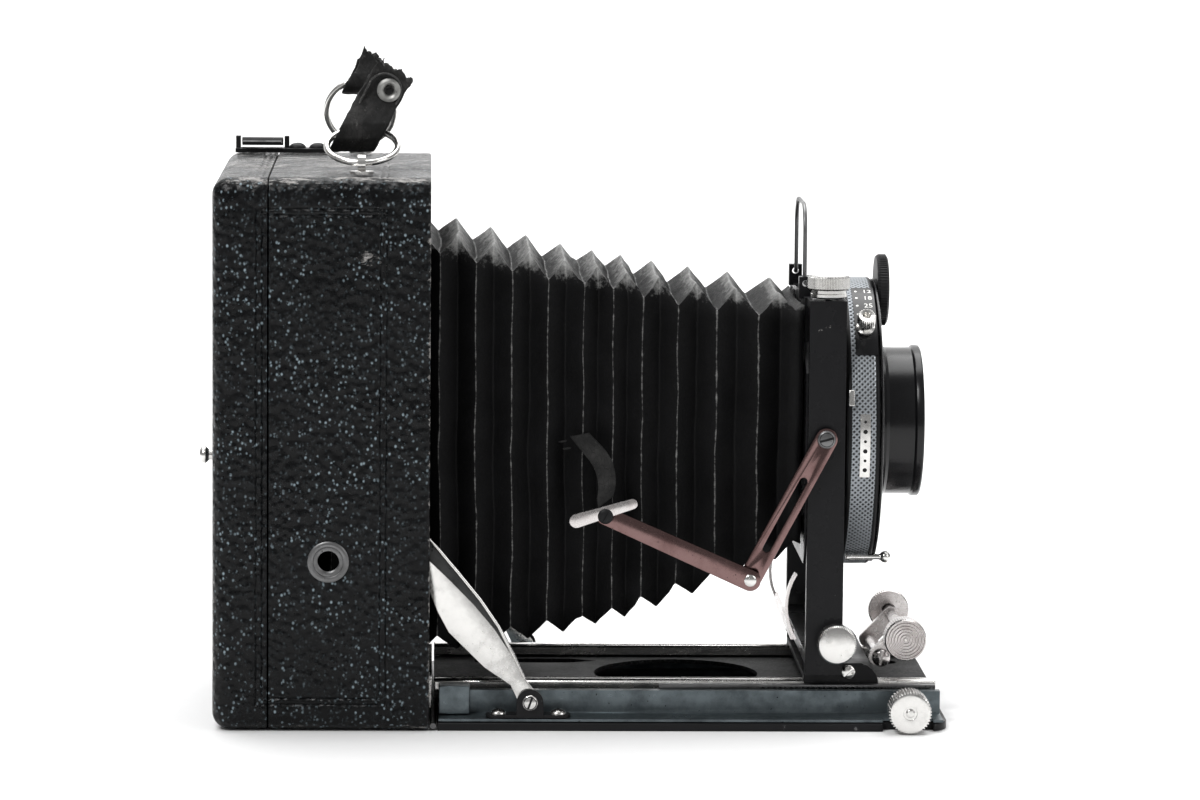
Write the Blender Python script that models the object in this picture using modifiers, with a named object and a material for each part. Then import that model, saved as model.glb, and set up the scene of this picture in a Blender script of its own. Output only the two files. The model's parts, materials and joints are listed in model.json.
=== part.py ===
"""View camera for 9 x 12 cm plates, opened on its drop bed.

Frame: origin at the centre of the body's bottom face, +X towards the lens, +Z up.
The near side, with the tripod bush and the focusing knob, is -Y. Sizes below are in
millimetres and are scaled to metres when the meshes are made.
"""
import math

import bmesh
import bpy
from mathutils import Matrix, Vector

MM = 0.001
GAP = 0.3                      # clearance between neighbouring pieces

# Body
BODY_HALF_LENGTH = 30.5
BODY_HALF_WIDTH = 56.0
BODY_HEIGHT = 156.0
WALL = 2.5
SEAM_X = -14.85                # where the back section meets the main shell
EDGE_RADIUS = 5.0
FRONT_X = BODY_HALF_LENGTH
BACK_X = -BODY_HALF_LENGTH
GATE_HALF_WIDTH = 45.0         # film gate opening
GATE_BOTTOM = 18.0
GATE_TOP = 140.0
BUSH_X = 2.1
BUSH_Z = 48.4
BUSH_RADIUS = 5.8
THREAD_RADIUS = 3.1            # 1/4 inch tripod thread

# Bed and track
BED_START = 32.9
BED_END = 177.5
BED_HALF_WIDTH = 53.0
BED_THICKNESS = 2.2
GUIDE_INNER = 38.0
GUIDE_OUTER = 41.0
GUIDE_TOP = 9.6
FLANGE_TOP = 3.2
RAIL_INNER = 28.3
RAIL_OUTER = 33.0
RAIL_TOP = 11.3
TRACK_START = 32.0
TRACK_END = 175.5
PLATE_BOTTOM = 6.5
PLATE_TOP = 7.7
TRACK_HOLE_X = 102.6
TRACK_HOLE_RADIUS = 23.9
FOCUS_X = 166.0
FOCUS_Z = 6.2
KNOB_RADIUS = 6.1
PINION_RADIUS = 2.8

# Standard
FOOT_START = 137.5
FOOT_END = 158.9
ARM_INNER = 37.5
ARM_OUTER = 40.5
ARM_FRONT = 148.0
ARM_TOP = 121.0
LENS_Z = 82.4
DRUM_RADIUS = 41.65
DRUM_BACK = 148.5
DRUM_FRONT = 158.0
BARREL_RADIUS = 22.0
BARREL_START = 159.3
BARREL_END = 172.5
PANEL_BACK = 137.0
PANEL_FRONT = 140.0
DIAL_Z = 120.5
DIAL_RADIUS = 10.4
LOOP_X = 137.6
LOOP_Z = 124.2
LOOP_HALF_WIDTH = 20.4

# Bellows
BELLOWS_REAR = -12.6
BELLOWS_FRONT = 136.6
BELLOWS_REAR_HALF = (44.0, 58.0)
BELLOWS_FRONT_HALF = (33.5, 37.0)
BELLOWS_REAR_Z = 79.0

# Bed struts
STRUT_PIVOT = (59.0, 7.8)
STRUT_MIDDLE = (38.0, 35.0)
STRUT_TOP = (25.0, 52.5)
STRUT_Y = 49.8

# Bellows carrying links
LINK_A = (142.5, 81.9)
LINK_B = (121.2, 41.9)
LINK_C = (80.0, 60.3)
LINK_HALF_WIDTH = 3.2
UPPER_LINK_Y = -42.6
LOWER_LINK_Y = -45.2

ROUND = 24                     # sides of a small round piece
FINE = 48                      # sides of a large round piece

part_collection = bpy.data.collections.new("view_camera")
cutter_collection = bpy.data.collections.new("cutters")


def clear_scene():
    for existing in list(bpy.data.objects):
        bpy.data.objects.remove(existing, do_unlink=True)
    bpy.context.scene.collection.children.link(part_collection)
    bpy.context.scene.collection.children.link(cutter_collection)


# ---------------------------------------------------------------- building tools

TURNED = {
    "X": (0.0, math.pi / 2, 0.0),
    "Z": (0.0, 0.0, 0.0),
    "-Y": (math.pi / 2, 0.0, 0.0),
    "+Y": (-math.pi / 2, 0.0, 0.0),
}
OUTLINE = {
    "X": (math.pi / 2, 0.0, math.pi / 2),
    "Y": (math.pi / 2, 0.0, 0.0),
    "Z": (0.0, 0.0, 0.0),
}


def add_object(name, data, centre=(0, 0, 0), rotation=(0, 0, 0)):
    obj = bpy.data.objects.new(name, data)
    obj.location = Vector(centre) * MM
    obj.rotation_euler = rotation
    part_collection.objects.link(obj)
    return obj


def mesh_from(bm, name):
    bmesh.ops.recalc_face_normals(bm, faces=bm.faces)
    mesh = bpy.data.meshes.new(name)
    bm.to_mesh(mesh)
    bm.free()
    return mesh


def smooth(obj, angle=35):
    obj.data.shade_smooth()
    obj.data.set_sharp_from_angle(angle=math.radians(angle))
    return obj


def block(name, low, high, round_edge=None, radius=0.0, segments=3):
    """A box between two corners; round_edge picks the edges to round by their two ends."""
    low = Vector(low)
    high = Vector(high)
    centre = (low + high) / 2
    size = (high - low) * MM
    bm = bmesh.new()
    bmesh.ops.create_cube(bm, size=1.0)
    bmesh.ops.scale(bm, vec=size, verts=bm.verts)
    if round_edge:
        chosen = [e for e in bm.edges if round_edge(*[v.co / MM + centre for v in e.verts])]
        bmesh.ops.bevel(bm, geom=chosen, offset=radius * MM, segments=segments,
                        affect="EDGES", profile=0.5)
    return add_object(name, mesh_from(bm, name), centre)


def rod(name, radius, start, end, sides=ROUND):
    """A round bar between two points."""
    start = Vector(start)
    end = Vector(end)
    along = end - start
    bm = bmesh.new()
    bmesh.ops.create_cone(bm, cap_ends=True, segments=sides, radius1=radius * MM,
                          radius2=radius * MM, depth=along.length * MM)
    turn = Vector((0, 0, 1)).rotation_difference(along.normalized()).to_euler()
    obj = add_object(name, mesh_from(bm, name), (start + end) / 2, turn)
    return smooth(obj)


def turned(name, profile, centre, axis, sides=ROUND, ring=False):
    """A lathe piece: (radius, height) points, from the top down the outer side."""
    bm = bmesh.new()
    points = [bm.verts.new((r * MM, 0, h * MM)) for r, h in profile]
    pairs = list(zip(points, points[1:]))
    if ring:
        pairs.append((points[-1], points[0]))
    for first, second in pairs:
        bm.edges.new((first, second))
    mesh = bpy.data.meshes.new(name)
    bm.to_mesh(mesh)
    bm.free()
    obj = add_object(name, mesh, centre, TURNED[axis])
    screw = obj.modifiers.new("turn", "SCREW")
    screw.axis = "Z"
    screw.steps = sides
    screw.render_steps = sides
    screw.use_merge_vertices = True
    screw.merge_threshold = 0.00001
    screw.use_smooth_shade = False
    return obj


def plate(name, outlines, centre, thickness, plane):
    """A flat piece cut to closed outlines, the inner ones being holes, as a mesh."""
    curve = bpy.data.curves.new(name, "CURVE")
    curve.dimensions = "2D"
    curve.fill_mode = "BOTH"
    curve.extrude = thickness / 2 * MM
    for outline in outlines:
        spline = curve.splines.new("POLY")
        spline.points.add(len(outline) - 1)
        for point, (a, b) in zip(spline.points, outline):
            point.co = (a * MM, b * MM, 0, 1)
        spline.use_cyclic_u = True
    shape = add_object(name + "_outline", curve)
    bpy.context.view_layer.update()
    depsgraph = bpy.context.evaluated_depsgraph_get()
    mesh = bpy.data.meshes.new_from_object(shape.evaluated_get(depsgraph))
    bpy.data.objects.remove(shape)
    bm = bmesh.new()
    bm.from_mesh(mesh)
    bmesh.ops.remove_doubles(bm, verts=bm.verts, dist=0.000005)
    bpy.data.meshes.remove(mesh)
    return add_object(name, mesh_from(bm, name), centre, OUTLINE[plane])


def wire(name, points, radius, cyclic=False, sides=2):
    """A round wire through the given points."""
    curve = bpy.data.curves.new(name, "CURVE")
    curve.dimensions = "3D"
    curve.bevel_depth = radius * MM
    curve.bevel_resolution = sides
    curve.use_fill_caps = True
    spline = curve.splines.new("POLY")
    spline.points.add(len(points) - 1)
    for point, position in zip(spline.points, points):
        point.co = (*(Vector(position) * MM), 1)
    spline.use_cyclic_u = cyclic
    return add_object(name, curve)


def solid_mesh(obj):
    """The finished mesh of an object in world space."""
    bpy.context.view_layer.update()
    depsgraph = bpy.context.evaluated_depsgraph_get()
    mesh = bpy.data.meshes.new_from_object(obj.evaluated_get(depsgraph))
    mesh.transform(obj.matrix_world)
    return mesh


def hide_tool(tool):
    part_collection.objects.unlink(tool)
    cutter_collection.objects.link(tool)
    tool.hide_render = True
    tool.display_type = "WIRE"


def combine(obj, tool, operation):
    modifier = obj.modifiers.new(operation.lower(), "BOOLEAN")
    modifier.operation = operation
    modifier.solver = "EXACT"
    modifier.object = tool
    hide_tool(tool)
    return obj


def cut(obj, tool):
    return combine(obj, tool, "DIFFERENCE")


def unite(obj, tool):
    return combine(obj, tool, "UNION")


def mirrored(name, obj):
    """A copy of a finished piece on the far side of the middle plane."""
    mesh = solid_mesh(obj)
    mesh.transform(Matrix.Scale(-1, 4, (0, 1, 0)))
    mesh.flip_normals()
    return smooth(add_object(name, mesh))


# ---------------------------------------------------------------- outlines

def circle(x, y, radius, sides=ROUND):
    step = math.tau / sides
    return [(x + radius * math.cos(i * step), y + radius * math.sin(i * step))
            for i in range(sides)]


def arc(x, y, radius, start, end, steps):
    """Points on an arc, angles in degrees."""
    angles = [math.radians(start + (end - start) * i / steps) for i in range(steps + 1)]
    return [(x + radius * math.cos(a), y + radius * math.sin(a)) for a in angles]


def rounded(low, high, radius, steps=5):
    """A rectangle with rounded corners."""
    (x0, y0), (x1, y1) = low, high
    corners = ((x1 - radius, y1 - radius, 0), (x0 + radius, y1 - radius, 90),
               (x0 + radius, y0 + radius, 180), (x1 - radius, y0 + radius, 270))
    points = []
    for x, y, start in corners:
        points += arc(x, y, radius, start, start + 90, steps)
    return points


def capsule(first, second, radius, second_radius=None, steps=8):
    """A bar outline with round ends from one point to another."""
    second_radius = second_radius or radius
    angle = math.degrees(math.atan2(second[1] - first[1], second[0] - first[0]))
    return (arc(*second, second_radius, angle - 90, angle + 90, steps)
            + arc(*first, radius, angle + 90, angle + 270, steps))


def between(first, second, share):
    return (first[0] + (second[0] - first[0]) * share, first[1] + (second[1] - first[1]) * share)


# ---------------------------------------------------------------- body

def runs_along_x(first, second):
    return abs(first.x - second.x) > 1


def make_body():
    shell = block("body_shell", (SEAM_X + GAP / 2, -BODY_HALF_WIDTH, 0),
                  (FRONT_X, BODY_HALF_WIDTH, BODY_HEIGHT), runs_along_x, EDGE_RADIUS, 4)
    inside = block("shell_inside", (SEAM_X - 5, -BODY_HALF_WIDTH + WALL, WALL),
                   (FRONT_X + 5, BODY_HALF_WIDTH - WALL, BODY_HEIGHT - WALL),
                   runs_along_x, EDGE_RADIUS - WALL, 2)
    cut(shell, inside)
    side_hole = rod("side_hole", BUSH_RADIUS - 1, (BUSH_X, -BODY_HALF_WIDTH - 2, BUSH_Z),
                    (BUSH_X, -BODY_HALF_WIDTH + WALL + 2, BUSH_Z))
    cut(shell, side_hole)

    gate = plate("film_gate", [rounded((-53.1, 2.9), (53.1, 153.1), 2.5, 2),
                               rounded((-GATE_HALF_WIDTH, GATE_BOTTOM), (GATE_HALF_WIDTH, GATE_TOP), 2,
                                       2)],
                 (SEAM_X + 1.1, 0, 0), 1.4, "X")

    back = block("back_frame", (BACK_X, -BODY_HALF_WIDTH, 0),
                 (SEAM_X - GAP / 2, BODY_HALF_WIDTH, BODY_HEIGHT),
                 lambda a, b: runs_along_x(a, b) or (a.x < SEAM_X - 1 and b.x < SEAM_X - 1),
                 EDGE_RADIUS, 4)
    cut(back, block("glass_recess", (-22, -46, 16), (SEAM_X + 3, 46, 142)))
    cut(back, block("door_opening", (BACK_X - 3, -41, 21), (-21.9, 41, 137)))

    glass = block("ground_glass", (-21.6, -45.6, 16.4), (-19.6, 45.6, 141.6))
    return shell, gate, back, glass


def make_hood_door():
    """The ground glass cover, hinged at its far edge, with its catch."""
    hinge_x = -31.9
    hinge_y = 41.6
    panel = block("hood_door", (-30.3, -40.6, 21.4), (-28.3, 40.6, 136.6))
    for low in (40.0, 98.0):
        high = low + 20.0
        knuckle = rod(f"door_knuckle_{low:.0f}", 1.2, (hinge_x, hinge_y, low), (hinge_x, hinge_y, high),
                      16)
        unite(panel, block(f"door_leaf_{low:.0f}", (-32.6, 34.0, low), (-30.9, 41.4, high)))
        unite(panel, block(f"door_leaf_root_{low:.0f}", (-31.4, 34.5, low + 0.5),
                           (-30.1, 40.2, high - 0.5)))
        unite(panel, knuckle)
        cut(panel, rod(f"door_pin_hole_{low:.0f}", 0.8, (hinge_x, hinge_y, low - 1),
                       (hinge_x, hinge_y, high + 1), 12))
    hinge = rod("hood_hinge", 0.5, (hinge_x, hinge_y, 39.0), (hinge_x, hinge_y, 119.0), 12)
    unite(hinge, rod("frame_knuckle", 1.2, (hinge_x, hinge_y, 60.4), (hinge_x, hinge_y, 97.6), 16))
    unite(hinge, block("frame_leaf", (-32.4, 42.1, 60.4), (-30.8, 48.0, 97.6)))
    catch = turned("hood_catch", [(0, 4.2), (1.6, 4.1), (2.4, 3.4), (2.5, 2.4), (1.5, 1.4), (1.5, 0.0),
                                  (0, 0)],
                   (-30.6, -36.0, 76.0), "X", 20)
    catch.rotation_euler = (0, -math.pi / 2, 0)
    return panel, hinge, catch


def make_tripod_bush():
    """The threaded bush in the near wall."""
    profile = [(BUSH_RADIUS, 0.7), (BUSH_RADIUS, 0.3), (BUSH_RADIUS - 1.4, 0.3),
               (BUSH_RADIUS - 1.4, -2.3), (THREAD_RADIUS, -2.3), (THREAD_RADIUS, 0.7)]
    return turned("tripod_bush", profile, (BUSH_X, -BODY_HALF_WIDTH, BUSH_Z), "-Y", 24, ring=True)


def make_inner_rails():
    """The rails inside the body, joined by a cross plate on its floor."""
    start = -9.5
    end = TRACK_START - 0.6
    floor = WALL + GAP
    near = block("inner_rails", (start, -RAIL_OUTER, floor), (end, -RAIL_INNER, RAIL_TOP))
    unite(near, block("inner_rail_far", (start, RAIL_INNER, floor), (end, RAIL_OUTER, RAIL_TOP)))
    unite(near, block("inner_cross_plate", (start, -RAIL_INNER - 1, floor),
                      (8.0, RAIL_INNER + 1, floor + 1.2)))
    return near


def make_sight():
    top = BODY_HEIGHT + GAP
    base = block("sight_base", (-27.5, 42.5, top), (-0.3, 50.3, top + 1.2))
    for x in (-27.5, -13.1):
        unite(base, block(f"sight_ear_{x:.0f}", (x, 47.4, top + 1.0), (x + 1.4, 50.2, top + 4.6)))
    barrel_z = top + 3.0
    flap = block("sight_flap", (-25.4, 40.5, barrel_z - 0.4), (-13.8, 48.8, barrel_z + 0.4))
    unite(flap, rod("sight_barrel", 1.2, (-25.7, 48.8, barrel_z), (-13.5, 48.8, barrel_z), 16))
    cut(flap, rod("peep_hole", 1.2, (-19.6, 43.6, top), (-19.6, 43.6, top + 6), 16))
    dome = [(0, 1.4), (1.4, 1.2), (2.3, 0.6), (2.5, 0.0), (0, 0)]
    for x in (-9.2, -3.2):
        unite(base, turned(f"sight_screw_{x:.0f}", dome, (x, 46.4, top + 1.0), "Z", 16))
    return base, flap


RING_RADIUS = 10.0
RING_WIRE = 0.9
EYE_Z = 159.3
EYE_Y = 43.5
NEAR_RING = (11.0, -EYE_Y, 25.0)      # eye position and lean above the top face, towards +Y
FAR_RING = (9.5, EYE_Y, 110.0)


def make_strap_posts():
    posts = []
    for name, (x, y, _) in (("strap_post_near", NEAR_RING), ("strap_post_far", FAR_RING)):
        base = rod(name, 3.4, (x, y, BODY_HEIGHT + GAP), (x, y, BODY_HEIGHT + 1.2), 20)
        unite(base, rod(f"post_eye_{y:.0f}", 2.6, (x - 1.1, y, EYE_Z), (x + 1.1, y, EYE_Z), 20))
        cut(base, rod(f"post_hole_{y:.0f}", 1.5, (x - 3, y, EYE_Z), (x + 3, y, EYE_Z), 16))
        posts.append(base)
    return posts


def make_ring(name, place):
    x, y, lean = place
    tilt = math.radians(lean)
    outward = Vector((0, math.cos(tilt), math.sin(tilt)))
    centre = Vector((x, y, EYE_Z)) + outward * RING_RADIUS
    points = []
    for i in range(ROUND):
        angle = math.tau * i / ROUND
        points.append(centre + Vector((math.sin(angle), 0, 0)) * RING_RADIUS
                      - outward * RING_RADIUS * math.cos(angle))
    return wire(name, points, RING_WIRE, cyclic=True, sides=1)


def make_strap(name, x, loop_y, loop_z, height, lean, width, top_slant, loop_radius):
    """A torn strap stub: a doubled strap around the ring's far side, sheared along its lean."""
    thickness = 1.2
    outside = loop_radius + thickness
    loop = arc(0, 0, outside, 180, 360, 10)
    outer = loop + [(outside, 2.0), (2.0, 9.5), (2.0, height), (-2.0, height), (-2.0, 9.5),
                    (-outside, 2.0)]
    inner = arc(0, 0, loop_radius, 180, 360, 8) + [(loop_radius - 0.2, 2.0), (0.5, 8.5), (-0.5, 8.5),
                                                   (0.2 - loop_radius, 2.0)]
    stub = plate(name, [outer, inner], (0, 0, 0), width, "X")
    mesh = solid_mesh(stub)
    bpy.data.objects.remove(stub)
    shear = Matrix.Identity(4)
    shear[0][2] = math.tan(math.radians(lean))
    mesh.transform(shear)
    bm = bmesh.new()
    bm.from_mesh(mesh)
    tear = Vector((-math.sin(math.radians(top_slant)), 0, math.cos(math.radians(top_slant))))
    cut_point = Vector((height * math.tan(math.radians(lean)), 0, height - 3.5)) * MM
    result = bmesh.ops.bisect_plane(bm, geom=bm.verts[:] + bm.edges[:] + bm.faces[:], plane_co=cut_point,
                                    plane_no=tear, clear_outer=True)
    rim = [e for e in result["geom_cut"] if isinstance(e, bmesh.types.BMEdge)]
    bmesh.ops.holes_fill(bm, edges=rim)
    return add_object(name, mesh_from(bm, name), (x, loop_y, loop_z))


def make_straps():
    near_loop_y = -EYE_Y + 2 * RING_RADIUS * math.cos(math.radians(NEAR_RING[2]))
    near_loop_z = EYE_Z + 2 * RING_RADIUS * math.sin(math.radians(NEAR_RING[2]))
    near = make_strap("strap_near", NEAR_RING[0], near_loop_y, near_loop_z, 21.0, 27.0, 13.0, -30.0, 5.4)
    far_loop_y = EYE_Y + 2 * RING_RADIUS * math.cos(math.radians(FAR_RING[2]))
    far_loop_z = EYE_Z + 2 * RING_RADIUS * math.sin(math.radians(FAR_RING[2]))
    far = make_strap("strap_far", FAR_RING[0], far_loop_y, far_loop_z, 12.0, 24.0, 8.0, -30.0, 2.9)
    rivet_x = 18.4
    rivet_z = 179.0
    cut(near, rod("rivet_hole", 1.2, (rivet_x, near_loop_y - 8, rivet_z),
                  (rivet_x, near_loop_y + 8, rivet_z), 16))
    profile = [(3.4, 2.9), (3.4, 1.7), (1.6, 1.7), (1.6, -1.7), (3.4, -1.7), (3.4, -2.9), (0.9, -2.9),
               (0.9, 2.9)]
    unite(near, turned("strap_eyelet", profile, (rivet_x, near_loop_y, rivet_z), "-Y", 20, ring=True))
    return near, far


# ---------------------------------------------------------------- bed

def knob_notch(name):
    return block(name, (FOCUS_X - 7.2, -60, -2), (FOCUS_X + 7.2, -49.6, 4.6))


def make_bed():
    corner = 8.0
    bed = plate("bed_door", [[(BED_START, -BED_HALF_WIDTH)]
                             + arc(BED_END - corner, -BED_HALF_WIDTH + corner, corner, 270, 360, 6)
                             + arc(BED_END - corner, BED_HALF_WIDTH - corner, corner, 0, 90, 6)
                             + [(BED_START, BED_HALF_WIDTH)]],
                (0, 0, BED_THICKNESS / 2), BED_THICKNESS, "Z")
    cut(bed, knob_notch("bed_notch"))
    pin = rod("bed_hinge_pin", 0.85, (31.7, -BED_HALF_WIDTH, 1.3), (31.7, BED_HALF_WIDTH, 1.3), 16)
    return bed, pin


def guide_outline(side):
    points = [(52.0, BED_THICKNESS + GAP), (52.0, FLANGE_TOP), (GUIDE_OUTER, FLANGE_TOP),
              (GUIDE_OUTER, GUIDE_TOP),
              (GUIDE_INNER, GUIDE_TOP), (GUIDE_INNER, 6.2), (35.0, 6.2), (35.0, 4.8),
              (GUIDE_INNER, 4.8), (GUIDE_INNER, BED_THICKNESS + GAP)]
    return [(side * y, z) for y, z in points]


def make_guides():
    start = BED_START + 0.3
    end = BED_END - 1.5
    guides = []
    for side, name in ((-1, "guide_near"), (1, "guide_far")):
        guides.append(plate(name, [guide_outline(side)], ((start + end) / 2, 0, 0), end - start, "X"))
    near = guides[0]
    cut(near, knob_notch("guide_notch"))
    cut(near, rod("focus_bearing", 1.8, (FOCUS_X, -GUIDE_OUTER - 2, FOCUS_Z),
                  (FOCUS_X, -GUIDE_INNER + 2, FOCUS_Z), 20))
    cut(near, block("pinion_room", (FOCUS_X - 3.6, -GUIDE_INNER + 0.01, 2), (FOCUS_X + 3.6, -33, 9)))
    stop = block("rail_end_block", (33.2, -46.0, FLANGE_TOP + GAP), (42.0, -GUIDE_OUTER - GAP, 11.6))
    return guides, stop


def make_focus_drive():
    """The knob, its short shaft and pinion, turned in one, and the rack on the track."""
    outer_face = 59.0
    knob_back = 49.9
    profile = [(0, outer_face), (1.2, outer_face), (1.2, outer_face - 0.5), (4.6, outer_face - 0.5),
               (KNOB_RADIUS - 0.5, outer_face - 0.2), (KNOB_RADIUS, outer_face - 0.8),
               (KNOB_RADIUS, knob_back + 0.8), (KNOB_RADIUS - 0.6, knob_back), (1.4, knob_back),
               (1.4, 37.4), (PINION_RADIUS, 37.4), (PINION_RADIUS, 34.9), (0, 34.9)]
    knob = turned("focus_knob", profile, (FOCUS_X, 0, FOCUS_Z), "-Y")
    rack_bottom = FOCUS_Z + PINION_RADIUS + GAP
    outline = [(96, PLATE_TOP + GAP), (124, PLATE_TOP + GAP), (124, rack_bottom), (175, rack_bottom),
               (175, rack_bottom + 1.4), (96, rack_bottom + 1.4)]
    rack = plate("focus_rack", [outline], (0, -36.1, 0), 2.4, "Y")
    return knob, rack


def fork_slot(start, end, y, half_width):
    """A long slot whose end tapers to a point."""
    return [(start, y - half_width), (end - 8, y - half_width), (end, y), (end - 8, y + half_width),
            (start, y + half_width)]


def make_track():
    edge = 37.4
    rack_side = 34.2
    outline = [(TRACK_START, -edge), (125, -edge), (125, -rack_side), (TRACK_END, -rack_side),
               (TRACK_END, edge), (TRACK_START, edge)]
    holes = [circle(TRACK_HOLE_X, 0, TRACK_HOLE_RADIUS, 48)]
    for side in (-1, 1):
        holes.append(fork_slot(44, 80, side * 21.0, 3.6))
        holes.append(rounded((150, side * 20 - 3), (169, side * 20 + 3), 2.8, 4))
    track = plate("track_plate", [outline] + holes, (0, 0, (PLATE_BOTTOM + PLATE_TOP) / 2),
                  PLATE_TOP - PLATE_BOTTOM, "Z")
    rails = []
    for side, name in ((-1, "track_rail_near"), (1, "track_rail_far")):
        low = min(side * RAIL_INNER, side * RAIL_OUTER)
        high = max(side * RAIL_INNER, side * RAIL_OUTER)
        rails.append(block(name, (TRACK_START, low, PLATE_TOP + GAP), (TRACK_END, high, RAIL_TOP),
                           lambda a, b: runs_along_x(a, b) and a.z > 10, 0.9, 2))
    return track, rails


def make_struts():
    """The two stays of the bed with their brackets, pins and screws."""
    px, pz = STRUT_PIVOT
    mx, mz = STRUT_MIDDLE
    tx, tz = STRUT_TOP
    outline = (arc(px, pz, 3.0, -60, 30, 6) + [(mx + 4.6, mz + 2.6)] + arc(tx, tz, 3.4, 40, 200, 6)
               + [(mx - 3.6, mz - 3.0), (px - 5.0, pz + 5.5)] + arc(px, pz, 3.0, 200, 240, 3))
    near = plate("strut_near", [outline, circle(px, pz, 1.6, 16), circle(tx, tz, 1.9, 16)],
                 (0, -STRUT_Y, 0), 1.3, "Y")
    flange = plate("strut_flange", [[(px - 1.0, pz + 7.0), (mx + 4.4, mz + 2.5), (tx + 4.0, tz - 0.4),
                                     (tx + 3.0, tz - 1.0), (mx + 3.4, mz + 1.7), (px - 2.0, pz + 6.2)]],
                   (0, -STRUT_Y + 0.95, 0), 1.3, "Y")
    unite(near, flange)
    far = mirrored("strut_far", near)

    bracket = plate("strut_bracket_near", [[(px - 3.8, FLANGE_TOP + GAP), (px + 3.8, FLANGE_TOP + GAP)]
                                           + arc(px, pz, 3.8, 0, 180, 10)], (0, -51.4, 0), 1.1, "Y")
    base_top = FLANGE_TOP + GAP + 0.8
    unite(bracket, block("bracket_base", (px - 12.5, -51.9, FLANGE_TOP + GAP),
                         (px + 11.5, -45.8, base_top),
                         lambda a, b: abs(a.z - b.z) > 0.3, 2.4, 4))
    unite(bracket, turned("strut_pin", [(0, 52.7), (1.9, 52.7), (2.0, 52.25), (1.3, 51.8), (1.3, 48.7),
                                        (0, 48.7)],
                          (px, 0, pz), "-Y", 16))
    dome = [(0, 1.4), (1.3, 1.2), (2.1, 0.7), (2.3, 0.0), (0, 0)]
    for x in (px - 9.0, px + 8.0):
        unite(bracket, turned(f"bracket_screw_{x:.0f}", dome, (x, -48.6, base_top - 0.2), "Z", 16))
    bracket_far = mirrored("strut_bracket_far", bracket)

    studs = []
    for name, axis in (("strut_stud_near", "-Y"), ("strut_stud_far", "+Y")):
        studs.append(turned(name, [(0, 53.2), (1.5, 53.2), (1.5, 47.9), (0, 47.9)], (tx, 0, tz), axis,
                            16))
    return near, far, bracket, bracket_far, studs


# ---------------------------------------------------------------- standard

def make_foot():
    """The standard's foot, an H section that wraps the rails, with its two side rivets."""
    web_low = RAIL_TOP + GAP
    web_high = web_low + 1.5
    inner = RAIL_OUTER + GAP
    outer = inner + 1.2
    low = 10.1
    high = 16.5
    half = [(outer, low), (outer, high), (inner, high), (inner, web_high)]
    outline = half + [(-y, z) for y, z in reversed(half)]
    outline += [(-inner, low), (-inner, web_low), (inner, web_low), (inner, low)]
    foot = plate("standard_foot", [outline], ((FOOT_START + FOOT_END) / 2, 0, 0), FOOT_END - FOOT_START,
                 "X")
    trim = plate("foot_trim", [[(FOOT_END - 6, high + 3)] + arc(FOOT_END - 6.5, high - 6.4, 6.6, 90, 0, 6)
                               + [(FOOT_END + 4, low - 1), (FOOT_END + 4, high + 3)]],
                 (0, 0, 0), 80, "Y")
    cut(foot, trim)
    dome = [(0, 1.0), (1.2, 0.9), (1.9, 0.3), (1.9, -0.3), (0, -0.3)]
    for side, axis in ((-1, "-Y"), (1, "+Y")):
        unite(foot, turned(f"foot_screw_{side}", dome, (149.7, side * outer, 13.9), axis, 16))
    return foot


def make_lock_release():
    """The pinch grips at the front of the foot, on a cross shaft held by two arms."""
    sx, sz = 167.0, 22.6
    arm = capsule((160.0, 15.4), (sx, sz), 2.4)
    levers = [plate(f"lever_{side}", [arm], (0, side * 15.5, 0), 2.4, "Y") for side in (-1, 1)]
    lever = levers[0]
    unite(lever, levers[1])
    unite(lever, rod("lever_foot", 2.0, (160.9, -17, 15.2), (160.9, 17, 15.2), 16))
    unite(lever, rod("grip_shaft", 1.7, (sx, -25.6, sz), (sx, 25.6, sz), 16))
    lever.name = "pull_lever"
    ringed = [(0, 31.0), (1.0, 31.0)]
    for groove in range(3):
        start = 1.6 + groove * 1.3
        ringed += [(start, 30.6), (start + 0.6, 31.0)]
    near = turned("pull_knob_near", ringed + [(5.8, 30.8), (KNOB_RADIUS, 30.2), (KNOB_RADIUS, 24.6),
                                              (5.7, 24.2),
                                              (2.1, 24.2), (2.1, 29.0), (0, 29.0)], (sx, 0, sz), "-Y")
    far = turned("pull_knob_far", [(0, 31.2), (2.4, 31.0), (4.4, 30.2), (5.8, 28.6), (KNOB_RADIUS, 27.0),
                                   (KNOB_RADIUS, 24.6), (5.7, 24.2), (2.1, 24.2), (2.1, 29.0), (0, 29.0)],
                 (sx, 0, sz), "+Y")
    return lever, near, far


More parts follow.
